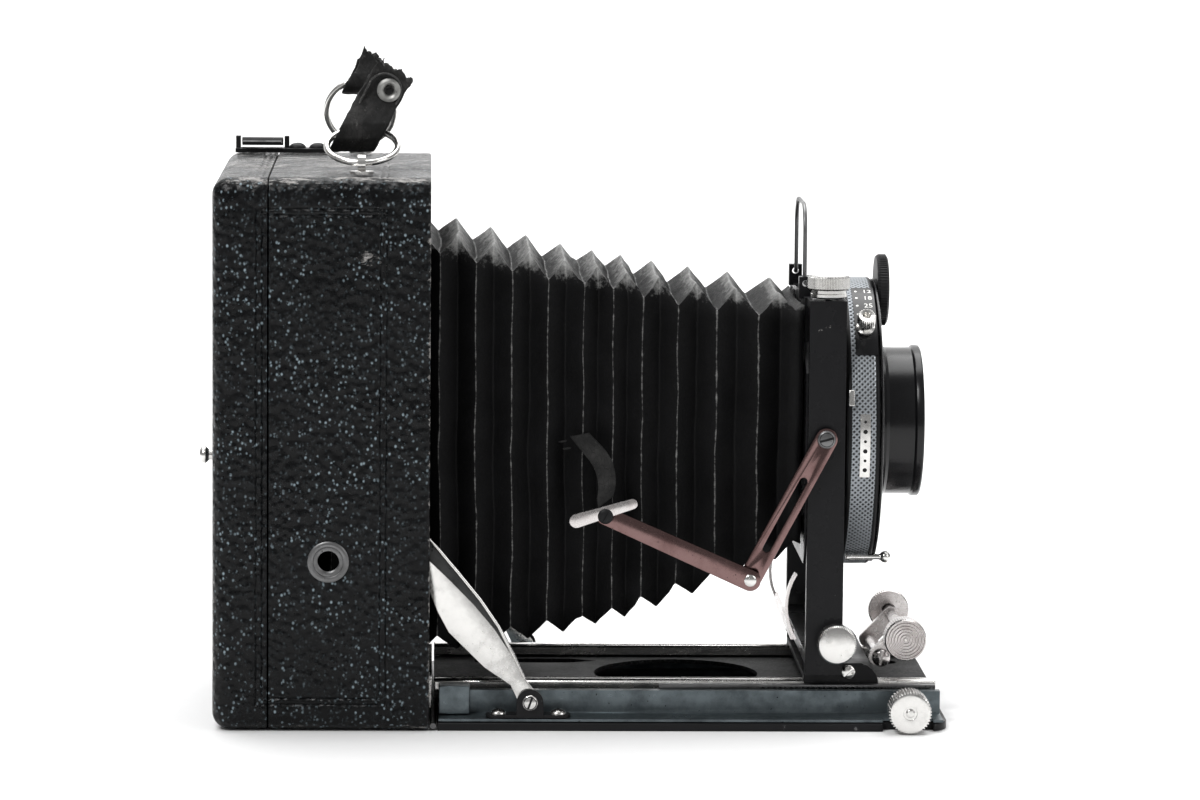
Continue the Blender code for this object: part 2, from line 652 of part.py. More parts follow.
def make_u_frame():
    bottom = 16.8
    web = 20.2
    leg = 14.0
    lip = 118.6
    outline = [(-ARM_OUTER, leg), (-ARM_INNER, leg), (-ARM_INNER, bottom), (ARM_INNER, bottom),
               (ARM_INNER, leg),
               (ARM_OUTER, leg), (ARM_OUTER, ARM_TOP), (ARM_INNER, ARM_TOP), (ARM_INNER, web + 2)]
    outline += [(ARM_INNER - 2, web), (-ARM_INNER + 2, web), (-ARM_INNER, web + 2), (-ARM_INNER, lip),
                (-30.2, lip), (-30.2, ARM_TOP), (-ARM_OUTER, ARM_TOP)]
    frame = plate("u_frame", [outline], ((FOOT_START + ARM_FRONT) / 2, 0, 0), ARM_FRONT - FOOT_START, "X")
    cut(frame, rod("rise_hole", 1.5, (143.2, -34.4, lip - 4), (143.2, -34.4, ARM_TOP + 4), 16))
    cut(frame, rod("shift_hole", 1.7, (146.0, -ARM_OUTER - 3, 23.6), (146.0, -ARM_INNER + 3, 23.6), 16))

    unite(frame, turned("link_screw", [(0, 44.2), (2.0, 44.0), (2.5, 43.5), (1.1, 43.5), (1.1, 40.0),
                                       (0, 40.0)],
                        (LINK_A[0], 0, LINK_A[1]), "-Y", 20))

    shift = turned("shift_knob", [(0, 47.0), (4.8, 47.0), (5.6, 46.3), (5.6, 41.6), (5.1, 41.0),
                                  (1.3, 41.0),
                                  (1.3, -36.8), (0, -36.8)], (146.0, 0, 23.6), "-Y")
    rise = turned("rise_knob", [(0, 128.0), (5.2, 128.0), (6.0, 127.3), (6.0, 124.2), (5.4, 123.6),
                                (5.0, 123.6),
                                (5.0, 121.4), (1.1, 121.4), (1.1, 60.0), (0, 60.0)], (143.2, -34.4,
                                                                                      0), "Z")
    outer = arc(150.0, 33.0, 18.2, 148, 212, 8)
    inner = arc(150.0, 33.0, 17.4, 212, 148, 8)
    spring = plate("standard_spring", [outer + inner], (0, -34.6, 0), 3.2, "Y")
    unite(spring, plate("spring_far", [outer + inner], (0, 34.6, 0), 3.2, "Y"))
    unite(spring, block("spring_bar", (133.6, -35.0, 23.4), (134.6, 35.0, 26.4)))
    return frame, shift, rise, spring


def make_lens_panel():
    top = 120.6
    low = 45.0
    outline = [(-36.9, low + 4), (-33, low), (33, low), (36.9, low + 4), (36.9, 100), (27, 108),
               (27, top),
               (-27, top), (-27, 108), (-36.9, 100)]
    panel = plate("lens_panel", [outline, circle(0, LENS_Z, 17.2, 32)],
                  ((PANEL_BACK + PANEL_FRONT) / 2, 0, 0),
                  PANEL_FRONT - PANEL_BACK, "X")
    neck = turned("shutter_flange", [(30.0, DRUM_BACK - GAP), (30.0, PANEL_FRONT - 1.0),
                                     (25.0, PANEL_FRONT - 1.0),
                                     (25.0, DRUM_BACK - GAP)], (0, 0, LENS_Z), "X", 32, ring=True)
    unite(panel, neck)
    for side in (-1, 1):
        y = side * LOOP_HALF_WIDTH
        ear = block(f"loop_ear_{side}", (LOOP_X - 1.9, y - 1.4, top - 0.7),
                    (PANEL_FRONT - 0.5, y + 1.4, LOOP_Z + 1.9))
        unite(panel, ear)
        cut(panel, rod(f"loop_hole_{side}", 1.0, (LOOP_X, y - 3, LOOP_Z), (LOOP_X, y + 3, LOOP_Z), 12))
    return panel


def make_finder_loop():
    """A wire frame that stands on the panel, its two feet turned out into the ears."""
    top = 146.2
    bend = 8.0
    half = LOOP_HALF_WIDTH - 3.4
    foot = [(LOOP_X, LOOP_HALF_WIDTH + 2.4, LOOP_Z), (LOOP_X, half + 0.6, LOOP_Z),
            (LOOP_X, half, LOOP_Z + 0.6)]
    arch = [(LOOP_X, y, z) for y, z in arc(half - bend, top - bend, bend, 0, 90, 6)]
    right = foot + arch
    left = [(x, -y, z) for x, y, z in reversed(right)]
    return wire("finder_loop", right + left, 0.6)


def make_shutter():
    """The shutter drum with its cover, dial, pointer, socket, lever and lens barrel."""
    inside = 38.6
    housing = turned("shutter_housing", [(DRUM_RADIUS - 0.7, DRUM_FRONT), (DRUM_RADIUS, DRUM_FRONT - 0.7),
                                         (DRUM_RADIUS, DRUM_BACK + 0.7), (DRUM_RADIUS - 0.7, DRUM_BACK),
                                         (17.2, DRUM_BACK), (17.2, DRUM_BACK + 2), (inside, DRUM_BACK
                                                                                    + 2),
                                         (inside, DRUM_FRONT)], (0, 0, LENS_Z), "X", FINE, ring=True)
    iris = turned("iris_diaphragm", [(33.0, 153.6), (33.0, 152.2), (9.0, 152.2), (9.0, 153.6)],
                  (0, 0, LENS_Z), "X", 32, ring=True)
    cover = turned("shutter_cover", [(41.0, 159.0), (41.3, 158.3), (17.2, 158.3), (17.2, 159.0)],
                   (0, 0, LENS_Z), "X", FINE, ring=True)
    dial = turned("speed_dial", [(0, 163.0), (2.0, 163.0), (2.2, 162.3), (8.6, 162.3), (9.6, 162.8),
                                 (DIAL_RADIUS, 162.2), (DIAL_RADIUS, 159.8), (9.8, 159.3), (0, 159.3)],
                  (0, 0, DIAL_Z), "X", 32)
    barrel = turned("lens_barrel", [(21.4, BARREL_END), (BARREL_RADIUS, BARREL_END - 0.6),
                                    (BARREL_RADIUS, BARREL_END - 2.6), (21.3, BARREL_END - 3.0),
                                    (21.3, BARREL_START + 2.6), (BARREL_RADIUS, BARREL_START + 2.0),
                                    (BARREL_RADIUS, BARREL_START), (17.2, BARREL_START), (17.2, 163.4),
                                    (18.6, 163.4), (19.6, BARREL_END)], (0, 0,
                                                                         LENS_Z), "X", FINE, ring=True)
    rear = turned("rear_cell", [(16.6, 148.0), (16.6, 131.0), (14.6, 131.0), (14.6, 148.0)],
                  (0, 0, LENS_Z), "X", 32, ring=True)
    front_lens = turned("front_lens", [(0, 168.0), (7.0, 167.4), (13.0, 165.8), (16.8, 163.8),
                                       (16.8, 161.0), (0, 161.0)],
                        (0, 0, LENS_Z), "X", 32)
    rear_lens = turned("rear_lens", [(0, 138.0), (14.2, 138.0), (14.2, 135.0), (8.0, 133.4), (0, 132.6)],
                       (0, 0, LENS_Z), "X", 32)

    socket = turned("cable_socket", [(0, 3.0), (1.2, 3.0), (1.2, 6.0), (2.3, 6.0), (2.6, 5.4), (2.6, 2.6),
                                     (1.9, 2.2), (1.9, 1.0), (2.6, 0.6), (2.6, 0.0), (0, 0)],
                    (154.2, -(DRUM_RADIUS + 0.4) * math.sqrt(0.5), LENS_Z + (DRUM_RADIUS + 0.4)
                     * math.sqrt(0.5)),
                    "Z", 20)
    socket.rotation_euler = (math.pi / 4, 0, 0)

    pointer_in = DRUM_RADIUS + 0.4
    sector = arc(0, LENS_Z, pointer_in, 162, 168, 3) + arc(0, LENS_Z, pointer_in + 1.6, 168, 162, 3)
    pointer = plate("aperture_pointer", [sector], (149.6, 0, 0), 1.6, "X")

    angle = math.radians(238)
    reach = DRUM_RADIUS + 1.6
    ly, lz = reach * math.cos(angle), LENS_Z + reach * math.sin(angle)
    lever = rod("release_lever", 1.0, (150.0, ly, lz), (161.0, ly, lz - 0.3), 16)
    ball = turned("lever_ball", [(0, 1.7), (0.9, 1.45), (1.5, 0.8), (1.7, 0), (1.5, -0.8), (0.9, -1.45),
                                 (0, -1.7)],
                  (161.4, ly, lz - 0.3), "X", 16)
    unite(lever, ball)
    return housing, iris, cover, dial, barrel, rear, front_lens, rear_lens, socket, pointer, lever


# ---------------------------------------------------------------- bellows and its links

def make_links():
    upper = plate("link_upper", [capsule(LINK_A, LINK_B, LINK_HALF_WIDTH, LINK_HALF_WIDTH),
                                 capsule(between(LINK_A, LINK_B, 0.3), between(LINK_A, LINK_B, 0.78),
                                         1.1, steps=5),
                                 circle(*LINK_A, 1.5, 16), circle(*LINK_B, 1.6, 16)],
                  (0, UPPER_LINK_Y, 0), 1.0, "Y")
    lower = plate("link_lower", [capsule(LINK_B, LINK_C, LINK_HALF_WIDTH - 0.2, LINK_HALF_WIDTH - 0.6),
                                 circle(*LINK_C, 1.4, 16)],
                  (0, LOWER_LINK_Y, 0), 1.0, "Y")
    rivet = turned("link_rivet", [(0, 46.1), (1.6, 46.0), (2.1, 45.4), (1.2, 44.8), (1.2, 41.9),
                                  (0, 41.9)],
                   (LINK_B[0], 0, LINK_B[1]), "-Y", 16)
    unite(lower, rivet)
    tail = (71.8, 58.9)
    nose = (87.6, 63.8)
    hook = plate("link_hook", [capsule(tail, nose, 2.0, 1.5)], (0, -46.6, 0), 0.9, "Y")
    unite(hook, turned("hook_screw", [(0, 47.9), (1.7, 47.8), (2.2, 47.0), (1.0, 46.8), (1.0, 44.4),
                                      (0, 44.4)],
                       (LINK_C[0], 0, LINK_C[1]), "-Y", 16))
    return upper, lower, hook


def make_bellows():
    """The bellows' outer shape: a tapered tube with chamfered corners, open at both ends."""
    wall = 1.6
    chamfer = 9.0
    corners = []
    for x, (half_y, half_z), z in ((BELLOWS_REAR, BELLOWS_REAR_HALF, BELLOWS_REAR_Z),
                                   (BELLOWS_FRONT, BELLOWS_FRONT_HALF, LENS_Z)):
        near_corner = [(half_y, half_z - chamfer), (half_y - chamfer, half_z)]
        ring = near_corner + [(-y, h) for y, h in reversed(near_corner)]
        ring += [(-y, -h) for y, h in ring]
        corners.append([(x, y, z + h) for y, h in ring])
    bm = bmesh.new()
    loops = [[bm.verts.new(Vector(p) * MM) for p in ring] for ring in corners]
    count = len(loops[0])
    for i in range(count):
        j = (i + 1) % count
        bm.faces.new((loops[0][i], loops[0][j], loops[1][j], loops[1][i]))
    bellows = add_object("bellows", mesh_from(bm, "bellows"))
    shell = bellows.modifiers.new("skin", "SOLIDIFY")
    shell.thickness = wall * MM
    shell.offset = -1.0
    shell.use_even_offset = True

    tab_outline = ([(70.0, 82.0), (75.5, 83.0)] + arc(70.0, 70.0, 13.0, 40, -20, 5)
                   + [(78.0, 62.5)] + arc(66.0, 68.0, 12.0, -15, 45, 5))
    tab = plate("bellows_tab", [tab_outline], (0, -40.4, 0), 1.2, "Y")
    return bellows, tab


# ---------------------------------------------------------------- materials and assembly

FINISHES = {
    "leather": ((0.030, 0.031, 0.034), 0.45, 0.0),
    "bellows": ((0.018, 0.018, 0.019), 0.75, 0.0),
    "strap": ((0.10, 0.09, 0.085), 0.7, 0.0),
    "black_metal": ((0.022, 0.022, 0.024), 0.35, 0.6),
    "enamel": ((0.012, 0.012, 0.013), 0.22, 0.0),
    "blued_steel": ((0.16, 0.20, 0.23), 0.4, 0.9),
    "nickel": ((0.72, 0.71, 0.69), 0.18, 1.0),
    "steel": ((0.45, 0.45, 0.46), 0.35, 1.0),
    "glass": ((0.75, 0.80, 0.82), 0.05, 0.0),
}
NODE_FINISH = {
    "leather": ("body_shell", "back_frame", "hood_door"),
    "bellows": ("bellows",),
    "strap": ("strap_near", "strap_far", "bellows_tab"),
    "black_metal": ("film_gate", "track_plate", "bed_door", "standard_foot", "rail_end_block",
                    "iris_diaphragm",
                    "rear_cell", "strut_bracket_near", "strut_bracket_far"),
    "enamel": ("u_frame", "lens_panel", "lens_barrel"),
    "blued_steel": ("guide_near", "guide_far"),
    "nickel": ("tripod_bush", "track_rail_near", "track_rail_far", "inner_rails", "strut_near",
               "strut_far",
               "strut_stud_near", "strut_stud_far", "focus_knob", "pull_knob_near", "pull_knob_far",
               "shift_knob", "rise_knob", "shutter_housing", "shutter_cover", "speed_dial", "cable_socket",
               "aperture_pointer", "release_lever", "finder_loop", "link_upper", "link_lower",
               "strap_ring_near", "strap_ring_far", "strap_post_near", "strap_post_far", "hood_catch"),
    "steel": ("hood_hinge", "bed_hinge_pin", "sight_base", "sight_flap", "focus_rack", "pull_lever",
              "standard_spring", "link_hook"),
    "glass": ("ground_glass", "front_lens", "rear_lens"),
}
# Each moving group: where its axis is, what carries it, and its pieces.
PIVOTS = {
    "focus_track": ((TRACK_START, 0, PLATE_BOTTOM), None,
                    ("track_plate", "track_rail_near", "track_rail_far", "focus_rack")),
    "focus_drive": ((FOCUS_X, -53, FOCUS_Z), None, ("focus_knob",)),
    "hood": ((-31.9, 41.6, 79.0), None, ("hood_door",)),
    "hood_latch": ((-30.6, -36.0, 76.0), "hood", ("hood_catch",)),
    "sight": ((-19.6, 48.8, BODY_HEIGHT + GAP + 3.0), None, ("sight_flap",)),
    "near_ring": ((NEAR_RING[0], -EYE_Y, EYE_Z), None, ("strap_ring_near", "strap_near")),
    "far_ring": ((FAR_RING[0], EYE_Y, EYE_Z), None, ("strap_ring_far", "strap_far")),
    "standard": ((FOOT_START, 0, RAIL_TOP), "focus_track", ("standard_foot", "pull_lever")),
    "near_grip": ((167.0, -27.0, 22.6), "standard", ("pull_knob_near",)),
    "far_grip": ((167.0, 27.0, 22.6), "standard", ("pull_knob_far",)),
    "cross_front": ((146.0, 0, 23.6), "standard", ("u_frame", "standard_spring")),
    "shift_drive": ((146.0, -44.0, 23.6), "cross_front", ("shift_knob",)),
    "rise_drive": ((143.2, -34.4, 124.0), "cross_front", ("rise_knob",)),
    "upper_link": ((LINK_A[0], UPPER_LINK_Y, LINK_A[1]), "cross_front", ("link_upper",)),
    "lower_link": ((LINK_B[0], LOWER_LINK_Y, LINK_B[1]), "upper_link", ("link_lower",)),
    "hook": ((LINK_C[0], -46.6, LINK_C[1]), "lower_link", ("link_hook",)),
    "rising_front": ((PANEL_BACK, 0, LENS_Z), "cross_front",
                     ("lens_panel", "shutter_housing", "iris_diaphragm", "shutter_cover", "lens_barrel",
                      "rear_cell", "front_lens", "rear_lens", "cable_socket", "bellows", "bellows_tab")),
    "finder": ((LOOP_X, 0, LOOP_Z), "rising_front", ("finder_loop",)),
    "dial": ((159.3, 0, DIAL_Z), "rising_front", ("speed_dial",)),
    "aperture": ((149.6, 0, LENS_Z), "rising_front", ("aperture_pointer",)),
    "release": ((150.0, 0, LENS_Z), "rising_front", ("release_lever",)),
}


def apply_finishes():
    for finish, (colour, roughness, metallic) in FINISHES.items():
        for name in NODE_FINISH[finish]:
            obj = bpy.data.objects[name]
            material = bpy.data.materials.new(name + "_finish")
            material.use_nodes = True
            shader = material.node_tree.nodes["Principled BSDF"]
            shader.inputs["Base Color"].default_value = (*colour, 1)
            shader.inputs["Roughness"].default_value = roughness
            shader.inputs["Metallic"].default_value = metallic
            material.diffuse_color = (*colour, 1)
            obj.data.materials.clear()
            obj.data.materials.append(material)


def attach(child, parent):
    bpy.context.view_layer.update()
    child.parent = parent
    child.matrix_parent_inverse = parent.matrix_world.inverted()


def build_pivots():
    for name, (place, carrier, nodes) in PIVOTS.items():
        pivot = add_object(name + "_pivot", None, place)
        if carrier:
            attach(pivot, bpy.data.objects[carrier + "_pivot"])
        for node in nodes:
            attach(bpy.data.objects[node], pivot)


def main():
    clear_scene()
    make_body()
    make_hood_door()
    make_tripod_bush()
    make_inner_rails()
    make_sight()
    make_strap_posts()
    make_ring("strap_ring_near", NEAR_RING)
    make_ring("strap_ring_far", FAR_RING)
    make_straps()
    make_bed()
    make_guides()
    make_focus_drive()
    make_track()
    make_struts()
    make_foot()
    make_lock_release()
    make_u_frame()
    make_lens_panel()
    make_finder_loop()
    make_shutter()
    make_links()
    make_bellows()
    apply_finishes()
    build_pivots()


main()
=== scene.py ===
import json
import math

import bmesh
import bpy
from mathutils import Matrix, Vector, noise


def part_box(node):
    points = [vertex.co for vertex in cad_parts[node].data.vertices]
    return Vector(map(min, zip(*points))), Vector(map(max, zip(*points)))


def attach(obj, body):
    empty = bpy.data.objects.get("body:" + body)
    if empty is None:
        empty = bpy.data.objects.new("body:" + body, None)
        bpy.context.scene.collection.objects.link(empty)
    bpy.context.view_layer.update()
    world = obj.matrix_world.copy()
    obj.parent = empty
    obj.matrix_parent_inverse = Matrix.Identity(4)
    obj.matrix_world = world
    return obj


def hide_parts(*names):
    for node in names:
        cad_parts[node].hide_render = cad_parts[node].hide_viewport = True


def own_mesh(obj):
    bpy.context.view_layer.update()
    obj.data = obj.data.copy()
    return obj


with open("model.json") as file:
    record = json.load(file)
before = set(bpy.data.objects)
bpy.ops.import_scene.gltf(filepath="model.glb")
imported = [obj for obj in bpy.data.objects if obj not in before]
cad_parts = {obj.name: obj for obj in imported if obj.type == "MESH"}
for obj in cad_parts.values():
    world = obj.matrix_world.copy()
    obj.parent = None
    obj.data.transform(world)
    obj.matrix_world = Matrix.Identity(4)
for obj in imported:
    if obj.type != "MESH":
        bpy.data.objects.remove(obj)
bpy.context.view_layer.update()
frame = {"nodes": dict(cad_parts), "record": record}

MM = 0.001
FRONT = (1, 0, 0)               # towards the lens
NEAR = (0, -1, 0)               # towards the side in the photo
UP = (0, 0, 1)
nodes = frame["nodes"]
record = frame["record"]
slot_of = {part["node"]: part["material_slot"] for part in record["subparts"]}
body_of = {node: body for body, members in record["behaviour"]["bodies"].items() for node in members}


def edges_mm(node):
    """A CAD node's box in millimetres."""
    low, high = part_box(node)
    return low / MM, high / MM


def middle_mm(node):
    """The middle of a CAD node's box in millimetres."""
    return [(a + b) / 2 for a, b in zip(*edges_mm(node))]


SHELL_LOW, SHELL_HIGH = edges_mm("body_shell")
BACK_LOW, BACK_HIGH = edges_mm("back_frame")
BELLOWS_LOW, BELLOWS_HIGH = edges_mm("bellows")
DRUM_LOW, DRUM_HIGH = edges_mm("shutter_housing")
LENS_Z = (DRUM_LOW.z + DRUM_HIGH.z) / 2
DRUM_RADIUS = (DRUM_HIGH.z - DRUM_LOW.z) / 2
HALF_WIDTH = SHELL_HIGH.y
HEIGHT = SHELL_HIGH.z
MOUTH_X = SHELL_HIGH.x


# ---------------------------------------------------------------- materials

class Finish:
    """A Principled material whose detail comes from procedural nodes in object space."""

    def __init__(self, name, colour, roughness, metallic=0.0):
        self.material = bpy.data.materials.new(name)
        self.material.use_nodes = True
        self.tree = self.material.node_tree
        self.shader = self.tree.nodes["Principled BSDF"]
        self.shader.inputs["Base Color"].default_value = (*colour, 1)
        self.shader.inputs["Roughness"].default_value = roughness
        self.shader.inputs["Metallic"].default_value = metallic
        self.place = self.tree.nodes.new("ShaderNodeTexCoord").outputs["Object"]
        self.normal = None

    def feed(self, value, socket):
        if isinstance(value, bpy.types.NodeSocket):
            self.tree.links.new(value, socket)
        else:
            socket.default_value = value

    def stretched(self, stretch):
        mapping = self.tree.nodes.new("ShaderNodeMapping")
        mapping.inputs["Scale"].default_value = stretch
        self.feed(self.place, mapping.inputs["Vector"])
        return mapping.outputs["Vector"]

    def noise(self, scale, detail=4.0, rough=0.6, stretch=(1, 1, 1)):
        node = self.tree.nodes.new("ShaderNodeTexNoise")
        self.feed(self.stretched(stretch), node.inputs["Vector"])
        node.inputs["Scale"].default_value = scale
        node.inputs["Detail"].default_value = detail
        node.inputs["Roughness"].default_value = rough
        return node.outputs[0]

    def cells(self, scale, feature="F1", stretch=(1, 1, 1)):
        node = self.tree.nodes.new("ShaderNodeTexVoronoi")
        node.feature = feature
        self.feed(self.stretched(stretch), node.inputs["Vector"])
        node.inputs["Scale"].default_value = scale
        return node.outputs["Distance"]

    def attribute(self, name):
        node = self.tree.nodes.new("ShaderNodeAttribute")
        node.attribute_name = name
        return node.outputs["Fac"]

    def sum(self, first, second, operation="ADD"):
        node = self.tree.nodes.new("ShaderNodeMath")
        node.operation = operation
        self.feed(first, node.inputs[0])
        self.feed(second, node.inputs[1])
        return node.outputs[0]

    def band(self, value, low, high, to_low=0.0, to_high=1.0):
        """value remapped from low..high to to_low..to_high, clamped."""
        node = self.tree.nodes.new("ShaderNodeMapRange")
        self.feed(value, node.inputs["Value"])
        for name, number in (("From Min", low), ("From Max", high), ("To Min", to_low),
                             ("To Max", to_high)):
            node.inputs[name].default_value = number
        return node.outputs["Result"]

    def blend(self, factor, first, second):
        node = self.tree.nodes.new("ShaderNodeMix")
        node.data_type = "RGBA"
        self.feed(factor, node.inputs[0])       # inputs 6 and 7 and output 2 are the colour sockets
        self.feed(first if isinstance(first, bpy.types.NodeSocket) else (*first, 1), node.inputs[6])
        self.feed(second if isinstance(second, bpy.types.NodeSocket) else (*second, 1), node.inputs[7])
        return node.outputs[2]

    def colour(self, socket):
        self.feed(socket, self.shader.inputs["Base Color"])

    def roughness(self, socket):
        self.feed(socket, self.shader.inputs["Roughness"])

    def metallic(self, socket):
        self.feed(socket, self.shader.inputs["Metallic"])

    def specular(self, level):
        self.shader.inputs["Specular IOR Level"].default_value = level

    def bump(self, height, distance, strength=1.0):
        node = self.tree.nodes.new("ShaderNodeBump")
        node.inputs["Strength"].default_value = strength
        node.inputs["Distance"].default_value = distance
        self.feed(height, node.inputs["Height"])
        if self.normal:
            self.feed(self.normal, node.inputs["Normal"])
        self.normal = node.outputs["Normal"]
        self.feed(self.normal, self.shader.inputs["Normal"])


WORN_AND_SHEEN = (0.30, 0.29, 0.28)       # bare hide or bare metal where the black is rubbed off; on the body's top face also a painted grazing-light sheen
SOOT = (0.006, 0.006, 0.0065)
JET = (0.004, 0.004, 0.0045)
PLATING = (0.74, 0.73, 0.71)


def make_leather(name, base, painted_sheen_colour, grain, gloss):
    """Pebbled leather: cell grain, a painted blue-grey sheen on the pebble tops, painted bright glint
    dots, and pale wear where 'wear' is high.
    """
    finish = Finish(name, base, gloss)
    pebbles = finish.cells(grain, "SMOOTH_F1")
    fine = finish.noise(grain * 2.2, 3.0)
    broad = finish.noise(38, 5.0)
    # painted highlight: the sheen colour is mixed onto the pebble tops where the fine and broad noises
    # allow
    top = finish.band(pebbles, 0.55, 0.10)
    painted_sheen_mask = finish.sum(top, finish.band(fine, 0.50, 0.66), "MULTIPLY")
    painted_sheen_mask = finish.sum(painted_sheen_mask, finish.band(broad, 0.35, 0.62, 0.15, 1.0), "MULTIPLY")
    tone = finish.blend(painted_sheen_mask, base, painted_sheen_colour)
    # painted highlight: small bright blue-grey glint dots at 6.5 times the sheen colour, in scattered
    # clusters
    dots = finish.sum(finish.band(finish.cells(grain * 1.45, "F1", (1, 1, 0.8)), 0.36, 0.12),
                      finish.band(finish.noise(grain * 1.3, 2.0), 0.41, 0.57), "MULTIPLY")
    dots = finish.sum(dots, finish.band(finish.noise(95, 3.0), 0.40, 0.58, 0.08, 1.0), "MULTIPLY")
    tone = finish.blend(dots, tone, [c * 6.5 for c in painted_sheen_colour])
    scuff = finish.noise(420, 6.0, 0.75, (0.35, 1, 1))
    # 'wear' brings rubbed edges and, on the body's top face, painted sheen as well
    amount = finish.sum(finish.attribute("wear"), finish.band(scuff, 0.30, 0.75, -0.42, 0.42))
    wear_and_top_sheen = finish.band(amount, 0.52, 0.68)
    finish.colour(finish.blend(wear_and_top_sheen, tone, WORN_AND_SHEEN))
    uneven = finish.sum(broad, fine, "MULTIPLY")
    finish.roughness(finish.band(uneven, 0.12, 0.45, gloss - 0.12, gloss + 0.18))
    finish.bump(pebbles, -0.0006, 0.9)
    finish.bump(fine, 0.00010, 0.6)
    finish.bump(wear_and_top_sheen, -0.0001, 0.6)
    finish.specular(0.17)
    return finish.material


def make_metal(name, base, tarnish_and_reflection, rough, metallic=1.0, speck=0.66, grain=(1, 1, 1), patch=(0.50, 0.72)):
    """Plated or bare metal with fine brushing, cloudy tarnish and small dark specks; on the link metals
    the cloudy colour is a painted reddish reflection.
    """
    finish = Finish(name, base, rough, metallic)
    cloud = finish.noise(90, 6.0, 0.7)
    brushed = finish.noise(900, 3.0, 0.6, grain)
    specks = finish.noise(1300, 2.0, 0.5)
    dull = finish.band(cloud, patch[0], patch[1])
    # cloudy tarnish colour; on the link metals a painted reddish reflection
    tone = finish.blend(finish.sum(dull, 0.55, "MULTIPLY"), base, tarnish_and_reflection)
    dots = finish.band(specks, speck, speck + 0.04)
    finish.colour(finish.blend(dots, tone, [c * 0.25 for c in tarnish_and_reflection]))
    finish.roughness(finish.sum(finish.band(cloud, 0.3, 0.75, rough * 0.75, rough * 1.7),
                                finish.band(brushed, 0.3, 0.7, -0.03, 0.05)))
    finish.bump(brushed, 0.00002, 0.35)
    finish.bump(dots, -0.00005, 0.5)
    return finish.material


def make_enamel(name, base, rough, chip_colour=WORN_AND_SHEEN, chips=0.67, gloss=0.16):
    """Stoved black enamel with small chips down to grey metal."""
    finish = Finish(name, base, rough)
    orange_peel = finish.noise(650, 2.0, 0.5)
    cloud = finish.noise(60, 5.0)
    chip = finish.band(finish.sum(finish.noise(330, 6.0, 0.72),
                                  finish.band(cloud, 0.3, 0.7, -0.06, 0.05)),
                       chips, chips + 0.025)
    finish.colour(finish.blend(chip, finish.blend(cloud, base, [c * 2.4 for c in base]), chip_colour))
    finish.metallic(finish.sum(chip, 0.6, "MULTIPLY"))
    finish.roughness(finish.band(cloud, 0.3, 0.7, rough * 0.8, rough * 1.7))
    finish.bump(orange_peel, 0.00003, 0.5)
    finish.bump(chip, -0.00008, 0.8)
    finish.specular(gloss)
    return finish.material


def make_worn_knurl():
    """Knurled metal: rubbed bright where 'wear' is high, black in the pits."""
    finish = Finish("worn_knurl", SOOT, 0.34)
    cloud = finish.noise(60, 5.0)
    crest = finish.band(finish.sum(finish.attribute("wear"), finish.band(cloud, 0.3, 0.7, -0.12, 0.12)),
                        0.35, 0.80)
    finish.colour(finish.blend(crest, SOOT, (0.30, 0.32, 0.34)))
    finish.metallic(finish.sum(crest, 0.5, "MULTIPLY"))
    finish.roughness(finish.band(cloud, 0.3, 0.7, 0.30, 0.48))
    finish.specular(0.16)
    return finish.material


def make_grained_paint(name, base, light, rough):
    """Wrinkle-dried matte paint with a light speckle."""
    finish = Finish(name, base, rough)
    wrinkle = finish.noise(1500, 4.0, 0.7)
    cloud = finish.noise(70, 4.0)
    speckle = finish.sum(finish.band(wrinkle, 0.50, 0.72), finish.band(cloud, 0.3, 0.65, 0.3, 1.0),
                         "MULTIPLY")
    finish.colour(finish.blend(speckle, base, light))
    finish.roughness(finish.band(cloud, 0.3, 0.7, rough * 0.85, rough * 1.15))
    finish.bump(wrinkle, 0.00016, 0.8)
    finish.specular(0.2)
    return finish.material


def make_bellows_finish():
    """Thin matte leather over card: soft grain, and paler where 'wear' is high: rubbed fold edges, and
    painted top light across the top faces.
    """
    base = (0.0022, 0.0022, 0.0024)
    finish = Finish("bellows_leather", base, 0.55)
    grain = finish.noise(1100, 4.0, 0.7)
    cloud = finish.noise(85, 5.0)
    dust = finish.noise(520, 6.0, 0.75, (1, 0.35, 1))
    tone = finish.blend(finish.band(cloud, 0.35, 0.75, 0.0, 0.7), base, SOOT)
    amount = finish.sum(finish.attribute("wear"), finish.band(dust, 0.3, 0.7, -0.35, 0.35))
    # paler where 'wear' is high: rubbed fold lines, and painted top light on the top faces and pleat
    # peaks
    finish.colour(finish.blend(finish.band(amount, 0.35, 1.05), tone, (0.24, 0.24, 0.235)))
    finish.roughness(finish.band(grain, 0.3, 0.7, 0.46, 0.72))
    finish.bump(grain, 0.00010, 0.7)
    finish.bump(cloud, 0.00030, 0.4)
    finish.specular(0.12)
    return finish.material


def make_strap_finish():
    """Dry, cracked leather with pale fibres."""
    base = (0.007, 0.007, 0.007)
    finish = Finish("strap_leather", base, 0.55)
    crack = finish.cells(900, "DISTANCE_TO_EDGE", (1, 1, 0.45))
    fibre = finish.noise(900, 6.0, 0.8, (1, 1, 0.3))
    cloud = finish.noise(120, 5.0)
    tone = finish.blend(finish.band(cloud, 0.45, 0.75), base, (0.035, 0.034, 0.033))
    tone = finish.blend(finish.band(fibre, 0.60, 0.78), tone, (0.16, 0.155, 0.15))
    finish.colour(finish.blend(finish.band(crack, 0.04, 0.0), tone, (0.003, 0.003, 0.003)))
    finish.roughness(finish.band(fibre, 0.3, 0.7, 0.5, 0.8))
    finish.bump(crack, 0.0002, 0.5)
    finish.bump(fibre, 0.00018, 0.8)
    finish.specular(0.2)
    return finish.material


def make_glass(name, tint, rough=0.02):
    """Clear or ground glass with faint smears."""
    finish = Finish(name, tint, rough)
    smear = finish.noise(140, 4.0)
    finish.roughness(finish.band(smear, 0.45, 0.75, rough, rough + 0.06))
    finish.shader.inputs["Transmission Weight"].default_value = 0.92
    finish.shader.inputs["IOR"].default_value = 1.52
    return finish.material
